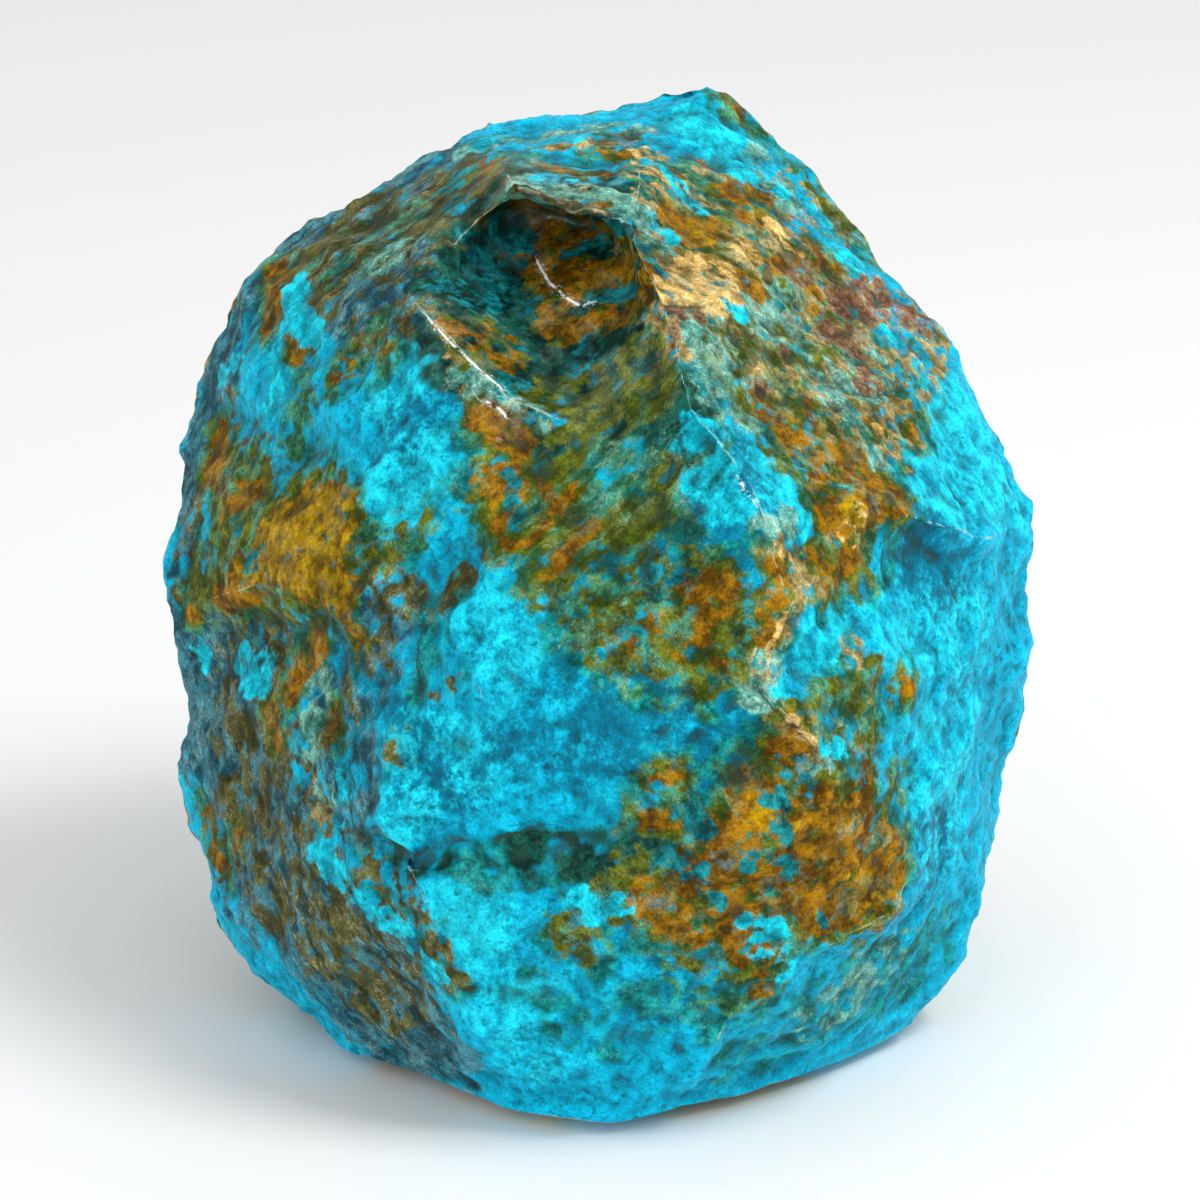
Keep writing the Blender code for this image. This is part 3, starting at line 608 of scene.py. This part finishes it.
PITS = [  # column, row, radius in squares, depth
    (796, 350, 7, 0.7 * MM), (771, 384, 8, 0.8 * MM), (762, 213, 4, 0.5 * MM), (786, 236, 5, 0.5 * MM),
    (864, 357, 5, 0.5 * MM), (672, 306, 5, 0.4 * MM), (806, 300, 5, 0.4 * MM), (842, 402, 6, 0.4 * MM),
]
SLANT = math.radians(42)  # how the slanting grain climbs to the right, on the board
FALL = math.radians(-58)  # how the falling grain drops to the right
GRAIN_STRETCH = 0.34  # a pattern's size across the grain, over its size along it
GRAIN_DRIFT = (20 * MM, 2, 400)  # size, octaves and seed of the noise that turns the grain elsewhere
GRAIN_DRIFT_FULL = 0.3

# A stroke of one stain lies in a wider one of another: over, under, how much wider in squares, and
# how strong.
HALOS = (
    ("ochre", "rust", 4, 0.9), ("rust", "olive", 5, 0.85), ("ochre", "olive", 10, 0.9),
    ("gold", "tan", 12, 0.9), ("plum", "tan", 12, 0.8), ("olive", "moss", 6, 0.8),
    ("tan", "moss", 6, 0.6), ("rust", "moss", 10, 0.75), ("rust", "teal", 18, 0.65),
    ("moss", "teal", 8, 0.75), ("olive", "teal", 14, 0.65), ("earth", "teal", 8, 0.6),
)

# Drifts of the sides and back, in families that share their noise, so that one stain rings another
# as on the front: the family's noise size, its own seed, then where each stain starts and is full.
DRIFTS = (
    (20 * MM, 200, {"teal": (-0.10, 0.25), "moss": (0.12, 0.42), "olive": (0.24, 0.52),
                    "rust": (0.40, 0.66), "ochre": (0.66, 0.95)}),
    (17 * MM, 220, {"sage": (0.20, 0.60), "tan": (0.38, 0.70), "gold": (0.66, 0.95),
                    "plum": (0.84, 1.10)}),
    (19 * MM, 240, {"slate": (0.05, 0.50), "earth": (0.30, 0.70)}),
    (14 * MM, 260, {"pale": (0.05, 0.50)}), (17 * MM, 280, {"deep": (0.10, 0.50)}),
    (9 * MM, 300, {"pool": (0.50, 0.80)}),
)
DRIFT_OCTAVES = 4
DRIFT_OWN = 0.5  # how much each stain's own noise adds to its family's
OWN_OCTAVES, OWN_FINER, OWN_SEED = 2, 3, 10  # its octaves, how much finer it is, and its seed
TURNED_AWAY, IN_SIGHT = -0.15, 0.25  # how squarely points face the board where drifts start and end


def surface_points(board, places):
    """The nearest point of the skin to the eye at each of these places on the board."""
    columns, rows, near = board
    found = []
    for column, row in places:
        gap = np.hypot(columns - column, rows - row)
        here = np.flatnonzero(gap < max(gap.min() * FOUND_SHARE, FOUND_SQUARES))
        found.append(here[near[here].argmax()])
    return found


def stroke_gaps(points, board, strokes):
    """Each stroke's strength and width in metres, and how far every point is from its line."""
    gaps = []
    for strength, width, places in strokes:
        line = points[surface_points(board, places)]
        gap = np.full(len(points), np.inf)
        for start, end in zip(line, line[1:]):
            along = end - start
            share = np.clip((points - start) @ along / max(along @ along, 1e-12), 0.0, 1.0)
            gap = np.minimum(gap, np.linalg.norm(points - start - share[:, None] * along, axis=1))
        gaps.append((strength, width * SQUARE, gap))
    return gaps


def stroke_field(gaps, wider=0.0):
    """How strongly strokes stain each point: a stroke is full near the line through its points and
    gone at its width's end. The strongest stroke counts."""
    fields = [strength * (1.0 - ease(FULL_STROKE * width, END_STROKE * width + wider, gap - wider))
              for strength, width, gap in gaps]
    return np.max(fields, axis=0)


def hairlines(points, board, lines):
    """How far each point is across the nearest hairline, below 0 on its left and above 0 on its
    right as drawn on the board, and how near it is to the line's own stretch of the stone."""
    columns, rows, _ = board
    across = np.full(len(points), np.inf)
    reach = np.full(len(points), np.inf)
    for places in lines:
        line = points[surface_points(board, places)]
        for start, end, low, high in zip(places, places[1:], line, line[1:]):
            run, fall = end[0] - start[0], end[1] - start[1]
            long = math.hypot(run, fall)
            east, south = columns - start[0], rows - start[1]
            share = np.clip((east * run + south * fall) / long ** 2, 0.0, 1.0)
            gap = np.hypot(east - share * run, south - share * fall) * SQUARE
            side = np.sign(east * fall - south * run)
            spot = low + share[:, None] * (high - low)
            depth = np.linalg.norm(points - spot, axis=1)
            closer = (gap < np.abs(across)) & (depth < LINE_DEPTH)
            across = np.where(closer, gap * side, across)
            reach = np.where(closer, np.maximum(gap, depth * DEPTH_SHARE), reach)
    return np.clip(across, -LINE_REACH, LINE_REACH), 1.0 - ease(LINE_NEAR, LINE_FAR, reach)


def pits(points, board):
    """How deep the pits are at each point: depth times e to minus the square of the distance from
    the pit's middle over its radius."""
    total = np.zeros(len(points))
    for column, row, radius, depth in PITS:
        middle = points[surface_points(board, [(column, row)])[0]]
        away = np.linalg.norm(points - middle, axis=1) / (radius * SQUARE)
        total += depth * np.exp(-away ** 2)
    return total


def turned_grain(points, angle):
    """Points turned so that the first axis runs along the grain, and squeezed along it."""
    right, up, near = turned_to_board(points)
    along = right * math.cos(angle) + up * math.sin(angle)
    across = -right * math.sin(angle) + up * math.cos(angle)
    return np.stack([along * GRAIN_STRETCH, across, near], axis=1)


def stain_fields(points, normals, board):
    """Each stain's strength at each point: strokes on the front, and drifts elsewhere."""
    facing = -normals[:, 1] * LEAN_COS + normals[:, 2] * LEAN_SIN
    hidden = 1.0 - ease(TURNED_AWAY, IN_SIGHT, facing)
    gaps = {name: stroke_gaps(points, board, strokes) for name, strokes in STROKES.items()}
    fields = {name: stroke_field(found) for name, found in gaps.items()}
    for over, under, wider, strength in HALOS:
        halo = stroke_field(gaps[over], wider * SQUARE) * strength
        fields[under] = np.maximum(fields[under], halo)
    for size, seed, stains in DRIFTS:
        shared = fractal_noise(points, size, DRIFT_OCTAVES, seed)
        for number, (name, (low, full)) in enumerate(stains.items()):
            own_seed = seed + OWN_SEED + OWN_OCTAVES * number
            own = fractal_noise(points, size / OWN_FINER, OWN_OCTAVES, own_seed)
            drift = ease(low, full, shared + own * DRIFT_OWN) * hidden
            fields[name] = np.maximum(fields[name], drift)
    wander = fractal_noise(points, *GRAIN_DRIFT)
    for name, turn in (("slanting grain", wander), ("falling grain", -wander)):
        fields[name] = np.maximum(fields[name], hidden * ease(0.0, GRAIN_DRIFT_FULL, turn))
    return fields


def stone_skin(solid):
    """The skin as a mesh, with its stains and its shape's convexity kept on its points."""
    corners, facets = mesh_arrays(welded(*mesh_arrays(solid.data), "solid"))
    skin = welded(*facet_grids(corners[facets], STEPS_PER_FACET), "stone skin")
    points, faces = mesh_arrays(skin)
    edges, bends = edges_and_bends(points, faces)
    points = relaxed(points, edges, bends)
    board = board_of(points)
    fields = stain_fields(points, point_normals(points, faces), board)
    fields["wear"] = ridge_wear(points, faces, edges, bends)
    for name, lines in HAIRLINES.items():
        across, fields[name + " near"] = hairlines(points, board, lines)
        fields[name] = across / MM
    pitted = pits(points, board)
    slanting, falling = fields.pop("slanting grain"), fields.pop("falling grain")
    grain = np.where((slanting > falling)[:, None], turned_grain(points, SLANT), turned_grain(points, FALL))
    fields["streaks"] = np.abs(slanting - falling)
    points = roughened(points, faces, fields["gloss"] * SMOOTH_BREAK)
    ribs = lattice_noise(grain, RIB_SIZE, SEEDS["ribs"]) * RIB_HEIGHT * fields["streaks"]
    ribs *= ease(0.0, CALM_ABOVE_BASE, points[:, 2])
    cracks = np.exp(-(fields["dark hair"] * MM / CRACK_WIDTH) ** 2) * fields["dark hair near"] * CRACK_DEPTH
    points = points + point_normals(points, faces) * (ribs - cracks - pitted)[:, None]
    skin.vertices.foreach_set("co", points.ravel())
    fields["edge"] = convexity(points, faces, edges, EDGE_ROUNDS) / EDGE_HEIGHT
    fields["rise"] = convexity(points, faces, edges, RISE_ROUNDS) / RISE_HEIGHT
    for name, field in fields.items():
        skin.attributes.new(name, "FLOAT", "POINT").data.foreach_set("value", field.astype(np.float32))
    skin.attributes.new("grain", "FLOAT_VECTOR", "POINT").data.foreach_set(
        "vector", grain.astype(np.float32).ravel())
    skin.shade_smooth()
    skin.update()
    return skin


class Minerals:
    """Makes and joins the nodes of one material."""

    def __init__(self, name):
        self.material = bpy.data.materials.new(name)
        self.material.use_nodes = True
        self.tree = self.material.node_tree
        self.shader = self.tree.nodes["Principled BSDF"]
        self.place = self.node("ShaderNodeTexCoord").outputs["Object"]

    def node(self, kind, inputs=(), **settings):
        """A node with these settings, its inputs taking values or other nodes' outputs."""
        made = self.tree.nodes.new(kind)
        for name, value in settings.items():
            setattr(made, name, value)
        for key, value in dict(inputs).items():
            self.join(value, made.inputs[key])
        return made

    def join(self, value, socket):
        """Another node's output linked to this socket, or a value set on it."""
        if isinstance(value, bpy.types.NodeSocket):
            self.tree.links.new(value, socket)
        else:
            socket.default_value = value

    def math(self, how, *values):
        """The result of one kind of sum over values or other nodes' outputs."""
        return self.node("ShaderNodeMath", dict(enumerate(values)), operation=how).outputs[0]

    def field(self, name, kind="Fac"):
        """What the skin's points keep under this name."""
        return self.node("ShaderNodeAttribute", attribute_name=name).outputs[kind]

    def sum(self, first, second, times=None):
        """Two values added, or a value and a multiple of another."""
        if times is None:
            return self.math("ADD", first, second)
        return self.math("MULTIPLY_ADD", second, times, first)

    def product(self, first, second):
        return self.math("MULTIPLY", first, second)

    def mean(self, share, first, second):
        """The number first, or second as far as share says."""
        return self.node("ShaderNodeMix", {0: share, 2: first, 3: second}).outputs[0]

    def grains(self, size, seed, detail, rough=0.6, place=None):
        """Noise from 0 to 1 whose largest grains are this size, apart from others by its seed."""
        apart = {0: place or self.place, 1: tuple(seed * step for step in SEED_STEP)}
        moved = self.node("ShaderNodeVectorMath", apart, operation="ADD").outputs[0]
        inputs = {"Vector": moved, "Scale": 1.0 / size, "Detail": detail, "Roughness": rough}
        return self.node("ShaderNodeTexNoise", inputs).outputs["Fac"]

    def ramp(self, value, low, high, least=0.0, most=1.0):
        """least below low, most above high, and an S-shaped rise between."""
        inputs = {"Value": value, "From Min": low, "From Max": high, "To Min": least, "To Max": most}
        return self.node("ShaderNodeMapRange", inputs, interpolation_type="SMOOTHSTEP").outputs["Result"]

    def shown(self, name, value):
        """The ramp of this name in RAMPS."""
        return self.ramp(value, *RAMPS[name])

    def blend(self, share, under, over, how="MIX"):
        """The colour under, covered by the colour over as far as share says."""
        made = self.node("ShaderNodeMix", data_type="RGBA", blend_type=how)
        self.join(share, made.inputs[0])
        for value, socket in ((under, made.inputs[6]), (over, made.inputs[7])):
            self.join(value if isinstance(value, bpy.types.NodeSocket) else (*value, 1.0), socket)
        return made.outputs[2]

    def shade(self, colour, value):
        """The colour times a number."""
        grey = self.node("ShaderNodeCombineXYZ", {0: value, 1: value, 2: value}).outputs[0]
        return self.blend(1.0, colour, grey, "MULTIPLY")


SEED_STEP = (0.137, 0.071, -0.113)  # how far a seed of 1 moves a noise
# The noises of the material: size, seed, how many times it's halved, and how strong the halves are.
COARSE = (3.6 * MM, 1, 3.0, 0.60)
FINE = (1.1 * MM, 2, 5.0, 0.72)
DUST = (0.24 * MM, 3, 2.0, 0.70)
LINES = (1.2 * MM, 4, 4.0, 0.66)
SPECKS = (0.7 * MM, 5, 2.0, 0.60)
HOLES = (2.3 * MM, 50, 2.0, 0.60)
# The noises that lobe the stains' borders, and those across the grain that draw them out: size and seed.
LOBES = ((2.4 * MM, 10), (2.2 * MM, 11), (1.8 * MM, 12), (1.6 * MM, 17), (1.4 * MM, 18), (1.3 * MM, 19),
         (1.3 * MM, 20), (1.6 * MM, 23))
DRAWN_LOBES = ((1.9 * MM, 30), (1.5 * MM, 31), (1.2 * MM, 32))
LOBE_DETAIL = 1.0
# Stains from the lowest to the topmost: name, dark tone, light tone, which noise lobes its
# border, how far the border wanders, how soft it is, how far the stains below show through it, and
# how cloudy it is, which is where pale threads and grit lie.
STAINS = (
    ("teal", (0.000, 0.100, 0.088), (0.006, 0.340, 0.340), 0, 3.2, 0.28, 0.00, 0.20),
    ("slate", (0.006, 0.060, 0.085), (0.055, 0.235, 0.285), 1, 2.8, 0.24, 0.00, 0.60),
    ("moss", (0.014, 0.080, 0.026), (0.060, 0.280, 0.150), 2, 3.6, 0.26, 0.20, 0.60),
    # Bottle: dark teal that is also painted shade in the hollow and creases.
    ("bottle and painted shade", (0.001, 0.022, 0.016), (0.008, 0.120, 0.088), 0, 2.8, 0.26, 0.00, 0.15),
    ("earth", (0.036, 0.040, 0.009), (0.132, 0.126, 0.036), 3, 3.6, 0.24, 0.85, 0.60),
    ("tan", (0.130, 0.100, 0.022), (0.410, 0.310, 0.110), 7, 4.0, 0.24, 0.50, 0.90),
    ("sage", (0.028, 0.150, 0.112), (0.180, 0.460, 0.380), 2, 3.8, 0.28, 0.20, 0.90),
    ("olive", (0.036, 0.060, 0.002), (0.135, 0.165, 0.012), 3, 3.6, 0.24, 0.60, 0.35),
    ("rust", (0.085, 0.040, 0.000), (0.350, 0.165, 0.000), 4, 3.6, 0.20, 0.35, 0.15),
    ("ochre", (0.140, 0.085, 0.000), (0.400, 0.245, 0.000), 5, 3.4, 0.24, 0.25, 0.15),
    ("gold", (0.240, 0.140, 0.022), (0.740, 0.500, 0.160), 6, 3.4, 0.24, 0.30, 0.80),
    ("plum", (0.085, 0.040, 0.018), (0.270, 0.135, 0.070), 6, 3.2, 0.22, 0.30, 0.70),
    ("pool", (0.001, 0.075, 0.085), (0.010, 0.280, 0.300), 5, 4.2, 0.26, 0.00, 0.10),
    ("azure", (0.000, 0.290, 0.380), (0.008, 0.640, 0.790), 7, 4.0, 0.28, 0.00, 0.00),
)
FLECKS = (0.000, 0.130, 0.170)
AZURE_DEEP = (0.000, 0.200, 0.320)
AZURE_CLEAR = (0.000, 0.415, 0.625)
AZURE_PALE = (0.010, 0.640, 0.800)
WORN = (0.520, 0.620, 0.480)
THREADS = (0.560, 0.560, 0.380)
# White of the painted highlights.
PAINTED_HIGHLIGHT = (0.900, 0.950, 0.900)
# Painted glints on the grains.
PAINTED_GLINT = (0.600, 0.800, 0.800)
# The dark tone of the dark hairlines, which is also painted shade in grooves.
DARK_HAIR_AND_GROOVE_SHADE = (0.030, 0.060, 0.040)

# Where each thing starts and is full, then the least and the most of it if they aren't 0 and 1.
RAMPS = {
    "pale streaks": (0.38, 0.62, -0.42, 0.42), "deep streaks": (0.38, 0.62, 0.50, -0.40),
    "pale azure": (0.05, 1.05), "deep azure": (0.15, 1.00, 0.00, 0.95), "flecks": (0.57, 0.66, 0.00, 0.55),
    "holes": (0.015, 0.105), "wander": (0.00, 0.45), "light tone": (0.40, 0.60),
    "threads": (0.022, 0.004, 0.00, 0.50), "thread patches": (0.42, 0.58), "grit": (0.55, 0.68),
    "crumbs": (0.32, 0.68, 0.82, 1.18), "mottle": (0.36, 0.64, 0.84, 1.14),
    # Painted light and shade by the relief, and painted shade in grooves:
    "shade": (-2.20, 2.20, 0.66, 1.30), "groove": (-0.80, -2.60, 0.00, 0.55),
    "wear": (0.66, 0.98, 0.00, 0.70), "hair pieces": (0.42, 0.54),
    # Painted glints on the grains:
    "painted_glints": (0.66, 0.74), "sparkle patches": (0.54, 0.66, 0.00, 0.35),
    # Painted highlights along the glossy lip, and their spray:
    "painted highlight": (0.44, 0.52), "highlight_spray": (0.58, 0.66, 0.00, 0.70),
    "roughness": (0.30, 0.70, 0.42, 0.62), "wet patches": (0.40, 0.60),
}
# How much the fine noise frays borders, hairlines, the painted light and shade of the relief,
# worn ridges and the painted shade in grooves.
FRAY, HAIR_FRAY, SHADE_FRAY, WEAR_FRAY, GROOVE_SHADE_FRAY = 0.42, 0.25, 1.2, 1.8, 1.5
COARSE_TONE, FINE_TONE = 0.45, 0.55  # shares of the noises in the stone's tone
STREAKED_TONE, STREAKED_BORDER = 0.55, 0.60  # how far the grain draws out tones and borders
HALF_COVERED = 0.5  # a stain's border lies where its field and noises come to this
# Broad rises add to the painted light and shade of the relief.
RISE_SHADE = 0.5  # how much broad rises shade the stone, beside its edges
GRIT = 0.5  # how much brighter grit is than the stain under it
# The glaze lines and their spray are painted highlights.
PALE_WIDTH, DARK_WIDTH, HIGHLIGHT_WIDTH, HIGHLIGHT_SPRAY_WIDTH = 0.075, 0.14, 0.17, 0.60  # hairlines' halves, in mm
HAIR_CORE = 0.3  # a hairline is full within this share of its width
PALE_STRENGTH, DARK_STRENGTH = 0.6, 0.7
SPECULAR, COAT_ROUGHNESS = 0.08, 0.10
WET_POLISH = -0.22  # what gloss adds to the roughness
BUMP_STRENGTH, BUMP_HEIGHT = 0.85, 0.25 * MM


def azure_body(stone, lined):
    """The bare stone: clear azure, clouded pale and deep, with small dark flecks."""
    pale = stone.sum(stone.field("pale"), stone.shown("pale streaks", lined))
    deep = stone.sum(stone.field("deep"), stone.shown("deep streaks", lined))
    colour = stone.blend(stone.shown("pale azure", pale), AZURE_CLEAR, AZURE_PALE)
    colour = stone.blend(stone.shown("deep azure", deep), colour, AZURE_DEEP)
    return stone.blend(stone.shown("flecks", stone.grains(*SPECKS)), colour, FLECKS)


def stained(stone, colour, lined, fine, streaks, grain):
    """The stains over the bare stone, each with a wandering border and holes, and how cloudy the
    topmost one is; the bottle stain among them is also painted shade in the hollow and creases.
    Some noises are shared, so that stains which ring each other run alike."""
    fray = stone.sum(stone.product(fine, FRAY), -0.5 - 0.5 * FRAY)
    along = stone.product(streaks, STREAKED_BORDER)
    drawn = [stone.grains(size, seed, LOBE_DETAIL, place=grain) for size, seed in DRAWN_LOBES]
    holes = stone.sum(fray, stone.mean(along, stone.grains(*HOLES), drawn[-1]))
    holes = stone.shown("holes", holes)
    borders = []
    for number, (size, seed) in enumerate(LOBES):
        lobes = stone.mean(along, stone.grains(size, seed, LOBE_DETAIL), drawn[number % len(drawn)])
        borders.append(stone.sum(fray, lobes))
    cloudy = 0.0
    for name, dark, light, lobed, wander, soft, pierced, cloud in STAINS:
        field = stone.field(name)
        cover = stone.sum(field, borders[lobed], stone.product(stone.shown("wander", field), wander))
        share = stone.ramp(cover, HALF_COVERED - soft, HALF_COVERED + soft)
        if pierced:
            share = stone.product(share, stone.sum(1.0, holes, -pierced))
        tone = stone.blend(stone.shown("light tone", lined), dark, light)
        colour = stone.blend(share, colour, tone)
        cloudy = stone.mean(share, cloudy, cloud)
    return colour, cloudy


def cloudy_grit(stone, colour, cloudy, lines, coarse, fine, dust):
    """Pale threads and grit where the stains are cloudy, and crumbs of light and dark everywhere."""
    thin = stone.shown("threads", stone.math("ABSOLUTE", stone.sum(lines, -0.5)))
    threads = stone.product(thin, stone.shown("thread patches", coarse))
    colour = stone.blend(stone.product(threads, cloudy), colour, THREADS)
    grit = stone.sum(1.0, stone.product(stone.shown("grit", dust), cloudy), GRIT)
    crumbs = stone.product(stone.shown("crumbs", dust), stone.shown("mottle", fine))
    return stone.shade(colour, stone.product(crumbs, grit))


def hair(stone, name, width, middled):
    """How much of a hairline covers a point: a thin band about the line, frayed by fine noise."""
    gap = stone.math("ABSOLUTE", stone.sum(stone.field(name), middled, HAIR_FRAY))
    return stone.product(stone.ramp(gap, width, HAIR_CORE * width), stone.field(name + " near"))


def worn(stone, colour, coarse, dust, fine, middled):
    """Painted light and shade by the relief, pale worn ridges, hairlines, painted glints, painted
    shade in grooves and painted white highlights along the glossy lip.
    """
    edge = stone.field("edge")
    # Painted light and shade: the colour is darkened in grooves and hollows and lightened on edges and
    # rises, by the skin's convexity.
    relief = stone.sum(stone.sum(edge, stone.field("rise"), RISE_SHADE), middled, SHADE_FRAY)
    colour = stone.shade(colour, stone.shown("shade", relief))
    wear = stone.sum(stone.field("wear"), middled, WEAR_FRAY)
    colour = stone.blend(stone.shown("wear", wear), colour, WORN)
    pieces = stone.shown("hair pieces", coarse)
    for name, width, strength, tone in (("pale hair", PALE_WIDTH, PALE_STRENGTH, WORN),
                                        ("dark hair", DARK_WIDTH, DARK_STRENGTH, DARK_HAIR_AND_GROOVE_SHADE)):
        share = stone.product(hair(stone, name, width, middled), stone.product(pieces, strength))
        colour = stone.blend(share, colour, tone)
    # Painted glints: pale specks laid on the grains as sparkling light.
    painted_glints = stone.product(stone.shown("painted_glints", dust), stone.shown("sparkle patches", coarse))
    colour = stone.blend(painted_glints, colour, PAINTED_GLINT)
    # Painted shade: a dark tone laid in the deepest grooves, where shade falls.
    colour = stone.blend(stone.shown("groove", stone.sum(edge, middled, GROOVE_SHADE_FRAY)), colour, DARK_HAIR_AND_GROOVE_SHADE)
    # Painted highlights: white lines and sprays of light along the glossy lip of the hollow and on its
    # glints.
    line = stone.product(hair(stone, "painted highlight", HIGHLIGHT_WIDTH, middled), stone.shown("painted highlight", fine))
    highlight_spray = stone.product(hair(stone, "painted highlight", HIGHLIGHT_SPRAY_WIDTH, middled), stone.shown("highlight_spray", dust))
    return stone.blend(stone.math("MAXIMUM", line, highlight_spray), colour, PAINTED_HIGHLIGHT)


def chrysocolla():
    """Azure copper silicate in cloudy tones, stained layer upon layer, pale on worn edges, with
    painted shade in its hollows and grooves and painted highlights and glints.
    """
    stone = Minerals("chrysocolla")
    streaks, grain = stone.field("streaks"), stone.field("grain", "Vector")
    coarse, fine, dust = (stone.grains(*noise) for noise in (COARSE, FINE, DUST))
    lines = stone.grains(*LINES, place=grain)
    middled = stone.sum(fine, -0.5)
    tone = stone.sum(stone.product(coarse, COARSE_TONE), fine, FINE_TONE)
    lined = stone.mean(stone.product(streaks, STREAKED_TONE), tone, lines)
    colour = azure_body(stone, lined)
    colour, cloudy = stained(stone, colour, lined, fine, streaks, grain)
    colour = cloudy_grit(stone, colour, cloudy, lines, coarse, fine, dust)
    # Wear, and painted light, shade, glints and highlights.
    colour = worn(stone, colour, coarse, dust, fine, middled)

    shader = stone.shader
    gloss = stone.field("gloss")
    rough = stone.sum(stone.shown("roughness", fine), gloss, WET_POLISH)
    bump = stone.node("ShaderNodeBump", {"Height": fine, "Strength": BUMP_STRENGTH, "Distance": BUMP_HEIGHT})
    stone.join(colour, shader.inputs["Base Color"])
    stone.join(rough, shader.inputs["Roughness"])
    stone.join(stone.product(gloss, stone.shown("wet patches", coarse)), shader.inputs["Coat Weight"])
    stone.join(bump.outputs[0], shader.inputs["Normal"])
    shader.inputs["Specular IOR Level"].default_value = SPECULAR
    shader.inputs["Coat Roughness"].default_value = COAT_ROUGHNESS
    return stone.material


def floor():
    """A plain pale floor, a disc of one ring of corners round the stone."""
    turn = np.linspace(0.0, 2.0 * math.pi, FLOOR_CORNERS, endpoint=False)
    rim = np.stack([np.cos(turn) * FLOOR_RADIUS, np.sin(turn) * FLOOR_RADIUS, 0.0 * turn], axis=1)
    mesh = bpy.data.meshes.new("floor")
    mesh.from_pydata(rim.tolist(), [], [list(range(len(rim)))])
    piece = bpy.data.objects.new("floor", mesh)
    paper = bpy.data.materials.new("studio paper")
    paper.use_nodes = True
    shader = paper.node_tree.nodes["Principled BSDF"]
    shader.inputs["Base Color"].default_value = PAPER
    shader.inputs["Roughness"].default_value = PAPER_ROUGHNESS
    mesh.materials.append(paper)
    bpy.context.scene.collection.objects.link(piece)


def soft_light(name, place, size, watts):
    """A square lamp at this place that faces the stone's heart."""
    lamp = bpy.data.lights.new(name, "AREA")
    lamp.size = size
    lamp.energy = watts
    piece = bpy.data.objects.new(name, lamp)
    piece.location = Vector(place)
    piece.rotation_euler = (HEART - Vector(place)).to_track_quat("-Z", "Y").to_euler()
    bpy.context.scene.collection.objects.link(piece)


def studio():
    """White surroundings, a key lamp high on the right and a weak fill low on the left."""
    scene = bpy.context.scene
    world = bpy.data.worlds.new("studio")
    world.use_nodes = True
    air = world.node_tree.nodes["Background"]
    air.inputs["Color"].default_value = ROOM_COLOUR
    air.inputs["Strength"].default_value = ROOM_LIGHT
    scene.world = world
    for name, (place, size, watts) in LAMPS.items():
        soft_light(name, place, size, watts)
    scene.view_settings.view_transform = "Standard"


def board_camera():
    """A camera at the eye, square to the board, whose frame is the board's squares."""
    lens = bpy.data.cameras.new("camera")
    lens.sensor_width = FILM_MM
    lens.lens = FILM_MM * EYE / (BOARD_SQUARES * SQUARE)
    lens.clip_start = NEAREST_SEEN
    back = Vector((0.0, -LEAN_COS, LEAN_SIN))
    piece = bpy.data.objects.new("camera", lens)
    piece.location = HEART + back * EYE
    piece.rotation_euler = (-back).to_track_quat("-Z", "Y").to_euler()
    bpy.context.scene.collection.objects.link(piece)
    bpy.context.scene.camera = piece


skin = stone_skin(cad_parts["stone"])
skin.materials.clear()
skin.materials.append(chrysocolla())
piece = bpy.data.objects.new("stone_skin", skin)
bpy.context.scene.collection.objects.link(piece)
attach(piece, "root")
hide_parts("stone")

floor()
studio()
board_camera()
